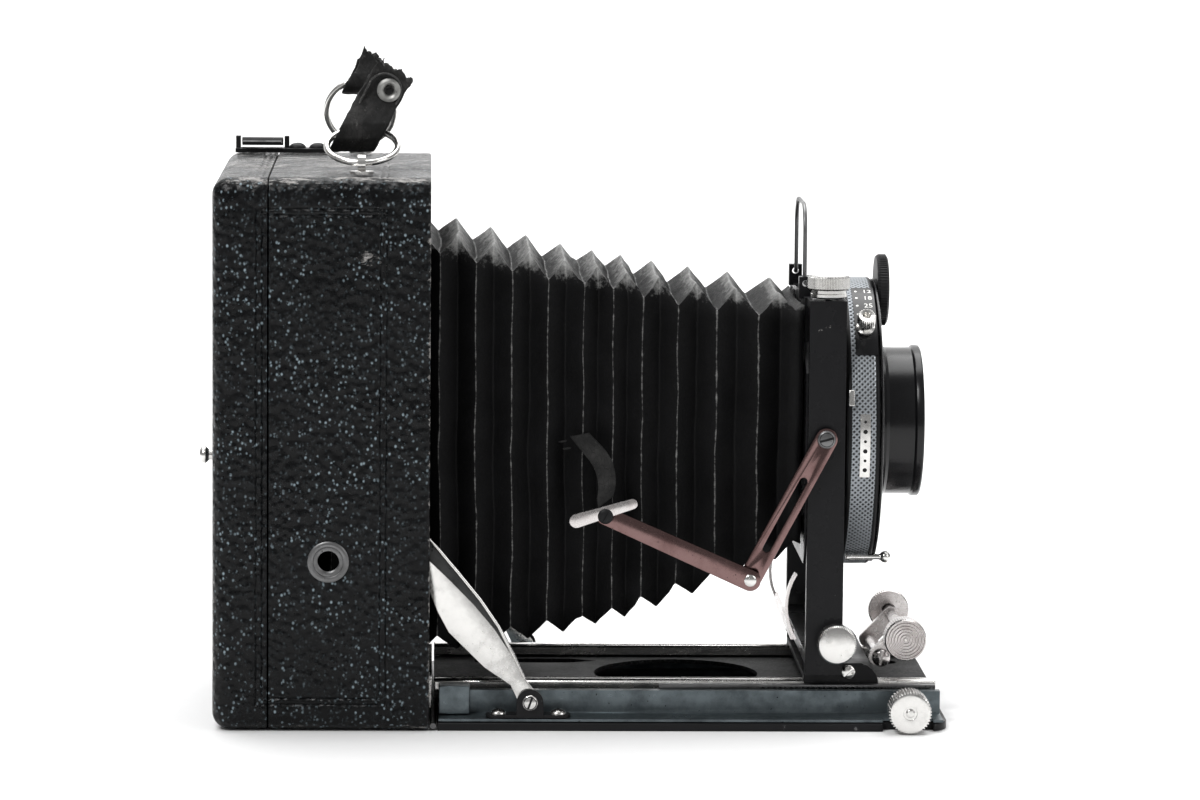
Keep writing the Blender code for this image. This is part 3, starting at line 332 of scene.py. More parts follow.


# the second colour of each leather is its painted sheen and glint colour
LEATHER = make_leather("body_leather", (0.0022, 0.0024, 0.0028), (0.034, 0.043, 0.048), 520, 0.34)
DOOR_LEATHER = make_leather("door_leather", (0.0045, 0.0048, 0.0055), (0.05, 0.06, 0.07), 560, 0.40)
BELLOWS = make_bellows_finish()
STRAP = make_strap_finish()
STRAP_THREAD = make_grained_paint("strap_thread", (0.03, 0.03, 0.03), (0.26, 0.25, 0.24), 0.7)
NICKEL = make_metal("nickel_plate", PLATING, (0.34, 0.33, 0.32), 0.19, speck=0.76)
RAIL_NICKEL = make_metal("rail_nickel", PLATING, (0.22, 0.21, 0.20), 0.20, speck=0.72,
                         grain=(0.04, 1, 1))
# painted reflection: the reddish base and cloud colours of both link metals stand for a reddish thing
# they reflect
LINK_METAL_RED_REFLECTION = make_metal("link_metal_red_reflection", (0.62, 0.59, 0.58), (0.30, 0.21, 0.20), 0.22, speck=0.73)
LINK_BAR_RED_REFLECTION = make_metal("link_bar_red_reflection", (0.20, 0.125, 0.12), (0.07, 0.032, 0.030), 0.16, speck=0.71)
DARK_STEEL = make_metal("dark_steel", (0.055, 0.055, 0.055), (0.02, 0.02, 0.02), 0.42, speck=0.68)
EYELET_METAL = make_metal("eyelet_metal", (0.28, 0.28, 0.27), (0.12, 0.12, 0.12), 0.42, speck=0.70)
STEEL = make_metal("plain_steel", (0.17, 0.17, 0.172), (0.07, 0.068, 0.066), 0.34, speck=0.70)
BLUED = make_metal("blued_steel", (0.135, 0.160, 0.172), (0.035, 0.042, 0.047), 0.30, 0.85, speck=0.71,
                   grain=(0.08, 1, 1), patch=(0.42, 0.62))
ENAMEL = make_enamel("black_enamel", JET, 0.24, chips=0.69)
BARREL_ENAMEL = make_enamel("barrel_enamel", JET, 0.17, chips=0.74, gloss=0.32)
KNURL_ENAMEL = make_enamel("knurl_enamel", SOOT, 0.30, (0.22, 0.22, 0.22), 0.68)
DRUM_KNURL = make_worn_knurl()
BLACK_METAL = make_enamel("black_metal", SOOT, 0.36, (0.16, 0.16, 0.16), 0.67)
GRAINED = make_grained_paint("grained_paint", SOOT, (0.11, 0.11, 0.11), 0.60)
LENS_GLASS = make_glass("lens_glass", (0.92, 0.95, 0.97))
GROUND_GLASS = make_glass("ground_glass_finish", (0.88, 0.90, 0.90), 0.45)
INK = make_enamel("dark_ink", (0.008, 0.008, 0.008), 0.5, (0.2, 0.2, 0.2), 0.75)
WHITE_PAINT = make_enamel("white_fill", (0.62, 0.62, 0.60), 0.5, (0.12, 0.12, 0.12), 0.62)

DEFAULTS = {"leather": LEATHER, "bellows": BELLOWS, "strap": STRAP, "enamel": ENAMEL,
            "black_metal": BLACK_METAL, "blued_steel": BLUED, "nickel": NICKEL, "steel": STEEL,
            "glass": LENS_GLASS}


# ---------------------------------------------------------------- mesh tools

CAD_MERGE = 0.002               # joins the split corners of a CAD mesh, in millimetres
SEAM_MERGE = 0.000001           # closes the seams of a turned or drawn piece, in metres


def add_object(name, data):
    thing = bpy.data.objects.new(name, data)
    bpy.context.scene.collection.objects.link(thing)
    return thing


def evaluated_mesh(thing):
    """A new mesh with the object's modifiers or curve settings worked in."""
    bpy.context.view_layer.update()
    return bpy.data.meshes.new_from_object(thing.evaluated_get(bpy.context.evaluated_depsgraph_get()))


def edit_mesh(mesh, merge_mm=0.0):
    bm = bmesh.new()
    bm.from_mesh(mesh)
    if merge_mm:
        bmesh.ops.remove_doubles(bm, verts=bm.verts, dist=merge_mm * MM)
    return bm


def finished_mesh(name, bm):
    mesh = bpy.data.meshes.new(name)
    bm.to_mesh(mesh)
    bm.free()
    return mesh


def curve_shape(name, curve):
    """An edit mesh of a curve or a text, which is used up."""
    shape = add_object(name, curve)
    mesh = evaluated_mesh(shape)
    bpy.data.objects.remove(shape)
    bm = edit_mesh(mesh)
    bpy.data.meshes.remove(mesh)
    return bm


def turned_to(first, second, third):
    """The rotation that lays X, Y and Z along three directions."""
    return Matrix((first, second, third)).transposed().to_4x4()


def add_piece(name, bm, finish, node=None, body=None, slot=None, angle=35):
    """A finished piece in the row frame. It rides with the CAD node it stands for, or on a body."""
    mesh = finished_mesh(name, bm)
    mesh.materials.append(finish)
    mesh.shade_smooth()
    mesh.set_sharp_from_angle(angle=math.radians(angle))
    piece = add_object(name, mesh)
    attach(piece, body or body_of[node])
    if node:
        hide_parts(node)
        slot = slot or slot_of[node]
    return piece


def grid(points, close=False):
    """Faces over rows of points; close joins the last point of each row to the first."""
    bm = bmesh.new()
    rows = [[bm.verts.new(Vector(p) * MM) for p in row] for row in points]
    count = len(rows[0])
    last = count if close else count - 1
    for low, high in zip(rows, rows[1:]):
        for i in range(last):
            j = (i + 1) % count
            bm.faces.new((low[i], low[j], high[j], high[i]))
    return bm


def axes(axis):
    """Two cross directions and the axis direction of a lathe piece."""
    along = Vector(axis).normalized()
    side = Vector(UP) if abs(along.z) < 0.9 else Vector(FRONT)
    across = along.cross(side).normalized()
    return across, along.cross(across), along


def lathe(name, profile, centre, axis, finish, node=None, body=None, slot=None, count=96, relief=None,
          ring=False,
          angle=35):
    """A turned piece: (radius, height) points run down the outer side; relief cuts into it."""
    across, up, along = axes(axis)
    centre = Vector(centre)
    if ring:
        profile = list(profile) + [profile[0]]
    rows = []
    for r, h in profile:
        row = []
        for i in range(count):
            a = math.tau * i / count
            radius = r + (relief(r, h, a) if relief and r else 0)
            row.append(centre + along * h + (across * math.cos(a) + up * math.sin(a)) * radius)
        rows.append(row)
    bm = grid(rows, close=True)
    bmesh.ops.remove_doubles(bm, verts=bm.verts, dist=SEAM_MERGE)
    bmesh.ops.recalc_face_normals(bm, faces=bm.faces)
    return add_piece(name, bm, finish, node, body, slot, angle)


def stepped(low, high, count):
    """Evenly spaced values from one end to the other, both included."""
    return [low + (high - low) * i / count for i in range(count + 1)]


def band_points(radius, top, bottom, count):
    """Profile points down a straight wall, for a relief to work on."""
    return [(radius, h) for h in stepped(top, bottom, count)]


def straight_knurl(radius, teeth, depth, low, high):
    """The relief of straight teeth on one wall of a profile."""
    def relief(r, h, a):
        if abs(r - radius) > 0.05 or not low <= h <= high:
            return 0
        return -depth * (0.5 + 0.5 * math.cos(teeth * a)) ** 1.6
    return relief


def knurled(name, profile, centre, axis, finish, node, knurl, count):
    """A turned knob with straight teeth: knurl is (radius, teeth, depth, low, high)."""
    lathe(name, profile, centre, axis, finish, node, count=count, relief=straight_knurl(*knurl), angle=28)


def diamond_knurl(radius, pitch, depth, low, high):
    """The relief of a raised lattice with a pit in each diamond."""
    count = round(math.tau * radius / pitch)

    def relief(r, h, a):
        if abs(r - radius) > 0.05 or not low <= h <= high:
            return 0
        u = a * count / math.tau
        v = h / pitch
        pit = min(abs((u + v) % 1 - 0.5), abs((u - v) % 1 - 0.5)) * 2
        return -depth * pit
    return relief


def arc(x, y, radius, start, end, steps):
    """Points on an arc, angles in degrees."""
    turns = [math.radians(start + (end - start) * i / steps) for i in range(steps + 1)]
    return [(x + radius * math.cos(a), y + radius * math.sin(a)) for a in turns]


def circle(x, y, radius, steps=48):
    """A round outline."""
    return arc(x, y, radius, 0, 360 - 360 / steps, steps - 1)


def capsule(first, second, radius, second_radius=None, steps=14):
    """A bar outline with round ends from one point to another."""
    second_radius = second_radius or radius
    angle = math.degrees(math.atan2(second[1] - first[1], second[0] - first[0]))
    return (arc(*second, second_radius, angle - 90, angle + 90, steps)
            + arc(*first, radius, angle + 90, angle + 270, steps))


def between(first, second, share):
    """The point a share of the way from the first to the second."""
    return tuple(a + (b - a) * share for a, b in zip(first, second))


PLANES = {                      # by the axis that a plate's thickness runs along
    "X": Matrix(((0, 0, 1), (1, 0, 0), (0, 1, 0))).to_4x4(),
    "Y": Matrix(((1, 0, 0), (0, 0, -1), (0, 1, 0))).to_4x4(),
}


def plate(name, outlines, offset, thickness, plane, finish, node=None, body=None, slot=None, edge=0.25):
    """A flat piece with rounded edges, cut to closed outlines."""
    curve = bpy.data.curves.new(name, "CURVE")
    curve.dimensions = "2D"
    curve.fill_mode = "BOTH"
    curve.extrude = (thickness / 2 - edge) * MM
    curve.bevel_depth = edge * MM
    curve.bevel_resolution = 1
    curve.offset = -edge * MM
    for outline in outlines:
        spline = curve.splines.new("POLY")
        spline.points.add(len(outline) - 1)
        for point, (a, b) in zip(spline.points, outline):
            point.co = (a * MM, b * MM, 0, 1)
        spline.use_cyclic_u = True
    bm = curve_shape(name + "_outline", curve)
    bmesh.ops.remove_doubles(bm, verts=bm.verts, dist=0.004 * MM)
    bm.transform(PLANES[plane])
    shift = Vector([offset if axis == plane else 0 for axis in "XYZ"])
    for vertex in bm.verts:
        vertex.co += shift * MM
    bmesh.ops.recalc_face_normals(bm, faces=bm.faces)
    return add_piece(name, bm, finish, node, body, slot, 30)


def refine(node, finish, width, segments=2):
    """A CAD node again with its edges rounded, in place of the node."""
    bm = edit_mesh(nodes[node].data, CAD_MERGE)
    bmesh.ops.dissolve_limit(bm, angle_limit=math.radians(1.0), verts=bm.verts, edges=bm.edges)
    bmesh.ops.recalc_face_normals(bm, faces=bm.faces)
    piece = add_piece(node + "_body", bm, finish, node)
    bevel = piece.modifiers.new("edges", "BEVEL")
    bevel.width = width * MM
    bevel.segments = segments
    bevel.limit_method = "ANGLE"
    bevel.angle_limit = math.radians(28)
    bevel.harden_normals = False
    return piece


def wire(name, points, radius, finish, node=None, body=None, slot=None, closed=False, sides=16):
    """A round wire along a smooth run of points, with domed ends when it is open."""
    path = [Vector(p) for p in points]
    count = len(path)
    rows = []
    side = None
    for i, place in enumerate(path):
        after = path[(i + 1) % count] if closed or i + 1 < count else place
        before = path[i - 1] if closed or i else place
        along = (after - before).normalized()
        side = along.orthogonal() if side is None else side - along * side.dot(along)
        side.normalize()
        up = along.cross(side)
        size = radius if closed or 0 < i < count - 1 else radius * 0.6
        rows.append([place + (side * math.cos(a) + up * math.sin(a)) * size
                     for a in (math.tau * k / sides for k in range(sides))])
    if closed:
        rows.append(rows[0])
    bm = grid(rows, close=True)
    bmesh.ops.remove_doubles(bm, verts=bm.verts, dist=SEAM_MERGE)
    if not closed:
        bmesh.ops.holes_fill(bm, edges=[e for e in bm.edges if e.is_boundary])
    bmesh.ops.recalc_face_normals(bm, faces=bm.faces)
    return add_piece(name, bm, finish, node, body, slot, 60)


def slotted_screw(name, centre, axis, radius, height, finish, body, slot="nickel", turn=25):
    """A domed screw head with a slot across it."""
    across, up, along = axes(axis)
    profile = [(0, height)]
    profile += [(radius * math.sin(math.radians(t)), height * math.cos(math.radians(t)))
                for t in range(15, 91, 15)]
    profile += [(radius, -0.15), (0, -0.15)]
    screw = lathe(name, profile, centre, axis, finish, body=body, slot=slot, count=40, angle=50)
    direction = across * math.cos(math.radians(turn)) + up * math.sin(math.radians(turn))
    bm = bmesh.new()
    bmesh.ops.create_cube(bm, size=1.0)
    turned = turned_to(direction, along.cross(direction), along)
    size = Matrix.Diagonal((radius * 2.6 * MM, radius * 0.26 * MM, height * 0.9 * MM, 1))
    middle = Matrix.Translation((Vector(centre) + along * height) * MM)
    bm.transform(middle @ turned @ size)
    cut_away(screw, bm)


def apply_modifiers(piece):
    mesh = evaluated_mesh(piece)
    piece.modifiers.clear()
    piece.data = mesh


def cut_away(piece, bm):
    """Cut a tool's shape out of a piece."""
    cutter = add_object("cutter", finished_mesh("cutter", bm))
    modifier = piece.modifiers.new("cut", "BOOLEAN")
    modifier.operation = "DIFFERENCE"
    modifier.solver = "EXACT"
    modifier.object = cutter
    apply_modifiers(piece)
    bpy.data.objects.remove(cutter)


def thicken(piece, depth):
    """Give a skin its wall, inwards, in millimetres."""
    wall = piece.modifiers.new("wall", "SOLIDIFY")
    wall.thickness = depth * MM
    wall.offset = -1
    apply_modifiers(piece)


def add_attribute(piece, name, value):
    """A number for each vertex, worked out from its place in millimetres."""
    layer = piece.data.attributes.new(name, "FLOAT", "POINT")
    for vertex, item in zip(piece.data.vertices, layer.data):
        item.value = value(vertex.co / MM)


def wobble(point, scale, seed=0.0):
    """Smooth noise between -1 and 1 at a place in millimetres."""
    return noise.noise(Vector(point) / scale + Vector((seed, seed * 1.7, -seed)))


# ---------------------------------------------------------------- body and back

CORNER = 5.0
GROOVE_X = 16.5                 # embossed panel lines on the sides
GROOVE_LOW = 7.8
GROOVE_HIGH = 147.4
GROOVE_PAIR = 1.7
GROOVE_DEPTH = 0.42
EDGE_BAND = 6                   # this close to an edge, a face's outward direction counts


def fine_steps(low, high, step, lines):
    """Steps between two ends, closer together at the embossed lines."""
    count = max(2, round((high - low) / step))
    values = stepped(low, high, count)
    for line in lines:
        values += [line + d for d in (-0.9, -0.6, -0.3, 0, 0.3, 0.6, 0.9) if low < line + d < high]
    ordered = sorted(values)
    kept = [ordered[0]]
    for value in ordered[1:]:
        if value - kept[-1] > 0.12:
            kept.append(value)
    return kept


def groove_lines(value):
    """The two lines of an embossed pair."""
    return [value, value + GROOVE_PAIR]


def perimeter(inset, step):
    """The body's outline across Y and Z with round corners, as (y, z, outward) points."""
    radius = max(CORNER - inset, 0.7)
    y1 = HALF_WIDTH - inset
    z0 = inset
    z1 = HEIGHT - inset
    heights = fine_steps(CORNER, HEIGHT - CORNER, step, groove_lines(GROOVE_LOW)
                         + groove_lines(GROOVE_HIGH - GROOVE_PAIR))
    widths = stepped(-HALF_WIDTH + CORNER, HALF_WIDTH - CORNER,
                     round(2 * (HALF_WIDTH - CORNER) / (2 * step)))
    scale_z = (z1 - z0 - 2 * radius) / (HEIGHT - 2 * CORNER)
    scale_y = (y1 - radius) / (HALF_WIDTH - CORNER)
    heights = [HEIGHT / 2 + (z - HEIGHT / 2) * scale_z for z in heights]
    widths = [y * scale_y for y in widths]
    points = [(-y1, z) for z in heights]
    points += arc(-y1 + radius, z1 - radius, radius, 180, 90, 5)[1:-1]
    points += [(y, z1) for y in widths]
    points += arc(y1 - radius, z1 - radius, radius, 90, 0, 5)[1:-1]
    points += [(y1, z) for z in reversed(heights)]
    points += arc(y1 - radius, z0 + radius, radius, 0, -90, 5)[1:-1]
    points += [(y, z0) for y in reversed(widths)]
    points += arc(-y1 + radius, z0 + radius, radius, -90, -180, 5)[1:-1]
    return points


def groove_depth(x, y, z):
    """How deep the embossed lines are pressed at a place on the sides and the top."""
    across_top = z > HEIGHT - 1.5 and abs(y) < HALF_WIDTH - 4
    if abs(y) < HALF_WIDTH - 1.5 and not across_top:
        return 0.0
    depth = 0.0
    inside_x = -GROOVE_X - 0.5 <= x <= GROOVE_X + GROOVE_PAIR + 0.3
    inside_z = GROOVE_LOW - 0.3 <= z <= GROOVE_HIGH + 0.3
    for k in range(2):
        for line in (-GROOVE_X - k * GROOVE_PAIR, GROOVE_X + k * GROOVE_PAIR):
            if inside_z or across_top:
                depth = max(depth, math.exp(-((x - line) / 0.34) ** 2))
        for line in (GROOVE_LOW + k * GROOVE_PAIR, GROOVE_HIGH - k * GROOVE_PAIR):
            if inside_x:
                depth = max(depth, math.exp(-((z - line) / 0.34) ** 2))
    return depth * GROOVE_DEPTH


def edge_wear_and_top_sheen(x, y, z):
    """High near the box's edges and over a few rubbed places, which is wear, and across the whole top
    face, which is wear together with a painted grazing-light sheen.
    """
    near_side = HALF_WIDTH - abs(y)
    near_top = min(HEIGHT - z, z)
    corner = math.hypot(max(near_side, 0), max(near_top, 0))
    mouth = MOUTH_X - x
    rear = x - BACK_LOW.x
    wear = max(0.0, 0.62 - corner / 9)
    wear = max(wear, 0.60 - mouth / 3.5, 0.50 - rear / 6)
    if rear < 0.3:
        wear = 0.22 + 0.1 * wobble((x, y, z), 12)
    rub = math.hypot((x - 14) / 9, (z - 134) / 10)
    if y < -HALF_WIDTH + 2:
        wear = max(wear, 0.46 - rub * 0.3)
    # the whole top face is made pale: rubbed wear together with a painted sheen where light grazes the
    # top
    if z > HEIGHT - 2:
        wear = max(wear, 0.53 + 0.22 * wobble((x * 0.3, y, z), 9))
    return wear


def side_shell(name, stations, node=None):
    """A leather covered shell: the outline carried through (x, inset) stations, with its wall behind."""
    rows = []
    for x, inset in stations:
        row = []
        for y, z in perimeter(inset, 1.6):
            height = z - HEIGHT / 2
            outward = Vector((0, y / HALF_WIDTH if abs(y) > HALF_WIDTH - EDGE_BAND else 0,
                              height / (HEIGHT / 2) if abs(height) > HEIGHT / 2 - EDGE_BAND else 0))
            outward.normalize()
            press = groove_depth(x, y, z) if inset < 0.5 else 0.0
            rise = 0.10 * wobble((x, y, z), 9) - 0.10
            row.append(Vector((x, y, z)) + outward * (rise - press))
        rows.append(row)
    bm = grid(rows, close=True)
    bmesh.ops.recalc_face_normals(bm, faces=bm.faces)
    bm.faces.ensure_lookup_table()
    first = bm.faces[0]
    if first.normal.y * first.calc_center_median().y < 0:
        bmesh.ops.reverse_faces(bm, faces=bm.faces)
    piece = add_piece(name, bm, LEATHER, node, "camera_body", angle=50)
    add_attribute(piece, "wear", lambda p: edge_wear_and_top_sheen(p.x, p.y, p.z))
    thicken(piece, 2.2)
    return piece


def bore(piece, start, end, radius):
    """Drill a round hole through a piece."""
    start = Vector(start) * MM
    end = Vector(end) * MM
    bm = bmesh.new()
    bmesh.ops.create_cone(bm, cap_ends=True, segments=48, radius1=radius * MM, radius2=radius * MM,
                          depth=(end - start).length)
    turn = Vector(UP).rotation_difference((end - start).normalized()).to_matrix().to_4x4()
    bm.transform(Matrix.Translation((start + end) / 2) @ turn)
    cut_away(piece, bm)


def make_body():
    lines = groove_lines(GROOVE_X)
    xs = fine_steps(SHELL_LOW.x, MOUTH_X - 0.6, 1.6, lines)
    stations = [(SHELL_LOW.x, 0.35), (SHELL_LOW.x + 0.15, 0.1)] + [(x, 0.0) for x in xs[1:]]
    stations += [(MOUTH_X - 0.2, 0.2), (MOUTH_X, 0.65)]
    shell = side_shell("body_leather_shell", stations, "body_shell")
    x, _, z = middle_mm("tripod_bush")
    bore(shell, (x, -HALF_WIDTH - 2, z), (x, -HALF_WIDTH + 4, z), 5.0)

    xs = fine_steps(BACK_LOW.x + CORNER, BACK_HIGH.x - 0.5, 1.4, [-GROOVE_X, -GROOVE_X - GROOVE_PAIR])
    stations = [(BACK_LOW.x, inset) for inset in (14.0, 11.5, 9.0, 7.0)]
    stations += [(BACK_LOW.x + CORNER - CORNER * math.sin(turn), CORNER - CORNER * math.cos(turn))
                 for turn in map(math.radians, stepped(90, 0, 8))]
    stations += [(x, 0.0) for x in xs[1:]] + [(BACK_HIGH.x - 0.1, 0.1), (BACK_HIGH.x, 0.35)]
    side_shell("back_leather_frame", stations)
    core = refine("back_frame", BLACK_METAL, 0.2)
    for vertex in core.data.vertices:           # the metal stays behind its leather
        vertex.co.y *= (HALF_WIDTH - 0.9) / HALF_WIDTH if abs(vertex.co.y) > (HALF_WIDTH - 8) * MM else 1
        if abs(vertex.co.z - HEIGHT / 2 * MM) > (HEIGHT / 2 - 8) * MM:
            vertex.co.z = (HEIGHT / 2 * MM) + (vertex.co.z - HEIGHT / 2 * MM) * (HEIGHT / 2
                                                                                 - 0.9) / (HEIGHT / 2)
        vertex.co.x = max(vertex.co.x, (BACK_LOW.x + 0.7) * MM)


def make_tripod_bush():
    x, _, z = middle_mm("tripod_bush")
    profile = [(5.0, 0.72), (5.5, 0.66), (5.8, 0.40), (5.8, 0.05), (4.6, 0.05), (4.5, -2.4), (3.1, -2.4)]
    for turn in range(6):
        top = -2.2 + turn * 0.45
        profile += [(3.05, top), (3.35, top + 0.22)]
    profile += [(3.2, 0.30), (3.4, 0.38), (4.1, 0.30), (4.3, 0.62), (4.5, 0.72)]
    lathe("threaded_bush", profile, (x, -HALF_WIDTH, z), NEAR, STEEL, "tripod_bush",
          slot="nickel", count=64, ring=True)


# ---------------------------------------------------------------- bellows

FIRST_FOLD = 33.0              # the side fold that stands in the body's mouth
FOLD_PITCH = 10.2
TIGHT_FOLD = 4.5               # the folds that are squeezed together
FOLDS_BEHIND = 4
FOLDS_AHEAD = 10


def fold_pitch(k):
    """The spacing after side fold k: tight in the middle, opening out towards the lens."""
    return FOLD_PITCH - 2.5 * math.exp(-((k - TIGHT_FOLD) / 0.9) ** 2) + 0.9 * max(0, k - 6)


def fold_places():
    places = [FIRST_FOLD - FOLD_PITCH * k for k in range(FOLDS_BEHIND, 0, -1)]
    place = FIRST_FOLD
    for k in range(FOLDS_AHEAD + 1):
        places.append(place)
        place += fold_pitch(k)
    return places


def bellows_top(x):
    """The top line, kept low inside the body so that the front can rise."""
    return min(139.7, 138.0 - 0.26 * (x - 38.7) + 0.0009 * (x - 38.7) ** 2)


def bellows_bottom(x):
    return 22.2 + 0.17 * (x - 56.5) + 0.0019 * (x - 56.5) ** 2


def bellows_ring(x, rise, depth):
    """One loop round the bellows. rise is 1 where top and bottom stand out, 0 where the sides do."""
    share = (x - BELLOWS_LOW.x) / (BELLOWS_HIGH.x - BELLOWS_LOW.x)
    half = 44.0 - 10.2 * share - depth * 0.8 * rise
    top = bellows_top(x) - depth * (1 - rise)
    low = bellows_bottom(x) + depth * (1 - rise)
    chamfer = 1.6 + 6.6 * rise
    slope = 0.35 + 0.25 * rise
    middle = (top + low) / 2
    tall = (top - low) / 2
    flat = chamfer * slope
    corners = [(half, tall - chamfer), (half - flat, tall), (-half + flat, tall), (-half, tall - chamfer),
               (-half, -tall + chamfer), (-half + flat, -tall), (half - flat, -tall), (half, -tall
                                                                                       + chamfer)]
    steps = (5, 16, 5, 20, 5, 16, 5, 20)
    points = []
    for k, (first, count) in enumerate(zip(corners, steps)):
        second = corners[(k + 1) % 8]
        for i in range(count):
            t = i / count
            y = first[0] + (second[0] - first[0]) * t
            z = first[1] + (second[1] - first[1]) * t
            bow = math.sin(math.pi * t)
            outward = Vector((0, y / half, z / tall)).normalized()
            sag = 0.9 * bow if count > 5 else -0.7 * bow * rise
            place = Vector((x, y, middle + z)) - outward * sag
            place.x += 0.8 * wobble((x * 0.2, y, z), 26, 3.1) + 0.3 * wobble((x, y, z), 8, 1.3)
            points.append(place + outward * 0.35 * wobble((x, y, z), 10, 7.7))
    return points


def bellows_stations():
    """(x, rise, depth) down the bellows, with short flats so that every fold has a soft edge."""
    places = fold_places()
    stations = [(BELLOWS_LOW.x + 1.5, 0.5, 4.0)]
    for side, following in zip(places, places[1:]):
        pitch = following - side
        depth = min(6.2, 0.56 * pitch)
        for share, rise in ((-0.035, 0.05), (0.0, 0.0), (0.035, 0.05), (0.16, 0.30), (0.33, 0.64),
                            (0.465, 0.95),
                            (0.5, 1.0), (0.535, 0.95), (0.67, 0.64), (0.84, 0.30)):
            stations.append((side + pitch * share, rise, depth))
    end = BELLOWS_HIGH.x - 0.2
    return [station for station in stations if station[0] < end - 1.0] + [(end, 0.4, 4.0)]


def fold_wear_and_top_light(place, rise):
    """Rubbed wear along the fold edges; painted top light, pale across the top faces and brighter at the
    pleat peaks; dark down the sides.
    """
    share = (place.z - bellows_bottom(place.x)) / (bellows_top(place.x) - bellows_bottom(place.x))
    # painted top light: the top faces are made pale, standing in for light from above
    crest = max(0.0, (share - 0.93) / 0.05)
    edge = max(0.0, 1 - rise / 0.06) * 0.62
    # painted highlight: brighter still where a pleat peak meets the top
    peak = max(0.0, (rise - 0.9) / 0.1) * min(crest, 1) * 0.4
    return max(edge, min(crest, 1) * 0.62 + peak)


def fold_with_bellows(piece):
    """Give a piece a mesh of its own."""
    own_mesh(piece)


def make_bellows():
    stations = bellows_stations()
    rows = [bellows_ring(*station) for station in stations]
    bm = grid(rows, close=True)
    bmesh.ops.recalc_face_normals(bm, faces=bm.faces)
    bm.faces.ensure_lookup_table()
    if bm.faces[0].normal.dot(bm.faces[0].calc_center_median() - Vector((0, 0, 0.08))) < 0:
        bmesh.ops.reverse_faces(bm, faces=bm.faces)
    piece = add_piece("pleated_bellows", bm, BELLOWS, "bellows", angle=80)
    # the 'wear' attribute here holds rubbed fold edges and painted top light
    layer = piece.data.attributes.new("wear", "FLOAT", "POINT")
    width = len(rows[0])
    for i, item in enumerate(layer.data):
        item.value = fold_wear_and_top_light(rows[i // width][i % width], stations[i // width][1])
    thicken(piece, 0.7)
    fold_with_bellows(piece)

    def curl(point):
        """Lay the tab's top on the bellows' side and bring its foot out to the hook."""
        drop = (83.0 - point.z) / 21.0
        out = -38.6 - 7.0 * max(0.0, drop) ** 1.4
        return (point.x, out + (point.y + 40.4), point.z)

    outline = ([(70.0, 82.0), (75.5, 83.0)] + arc(70.0, 70.0, 13.0, 40, -20, 14)
               + [(78.0, 62.5)] + arc(66.0, 68.0, 12.0, -15, 45, 14))
    tab = plate("bellows_leather_tab", [outline], -40.4, 1.1, "Y", STRAP, "bellows_tab", edge=0.2)
    bm = edit_mesh(tab.data)
    bmesh.ops.subdivide_edges(bm, edges=bm.edges, cuts=3, use_grid_fill=True)
    for vertex in bm.verts:
        vertex.co = Vector(curl(vertex.co / MM)) * MM
    bm.to_mesh(tab.data)
    bm.free()
    fold_with_bellows(tab)


# ---------------------------------------------------------------- bed, track and struts

STRUT_PIVOT = (59.0, 7.8)
STRUT_TOP = (25.0, 52.5)
STRUT_Y = 49.8


def make_struts():
    px, pz = STRUT_PIVOT
    tx, tz = STRUT_TOP
    back_edge = [(36.0, 27.5), (32.6, 33.5), (29.6, 41.0), (25.4, 47.6)]
    front_edge = [(29.6, 55.0), (33.2, 51.0), (38.6, 44.6), (44.8, 37.0), (50.0, 29.4), (53.8, 22.0),
                  (57.4, 14.6)]
    outline = (arc(px, pz, 3.0, -60, 30, 8) + list(reversed(front_edge)) + arc(tx, tz, 3.3, 50, 200, 8)
               + list(reversed(back_edge)) + [(46.0, 17.6), (53.4, 12.6)] + arc(px, pz, 3.0, 200, 240, 4))
    taper = [4.6 * (1 - k / 5.0) for k in range(6)]
    inner = [(x - 0.78 * w - 0.4, z - 0.62 * w - 0.3) for (x, z), w in zip(front_edge, taper)]
    band = [(x - 0.3, z - 0.2) for x, z in front_edge[:6]] + list(reversed(inner))
    for side, word in ((-1, "near"), (1, "far")):
        plate(f"strut_bar_{word}", [outline], side * STRUT_Y, 1.3, "Y", NICKEL, f"strut_{word}",
              edge=0.35)
        plate(f"strut_flange_{word}", [band], side * (STRUT_Y + 0.67), 0.3, "Y", DARK_STEEL,
              body="camera_body",
              slot="nickel", edge=0.06)
        ridge = [(x, side * (STRUT_Y + 0.75), z) for x, z in front_edge]
        wire(f"strut_ridge_{word}", ridge, 0.55, NICKEL, body="camera_body", slot="nickel", sides=12)
        slotted_screw(f"strut_pin_head_{word}", (px, side * 52.0, pz), (0, side, 0), 2.3, 1.0, NICKEL,
                      "camera_body",
                      turn=70)
        refine(f"strut_bracket_{word}", BLACK_METAL, 0.3)
        for x in (px - 9.0, px + 8.0):
            slotted_screw(f"bracket_dome_{word}_{x:.0f}", (x, side * 48.6, 4.15), UP, 2.5, 1.6, NICKEL,
                          "camera_body", turn=20)


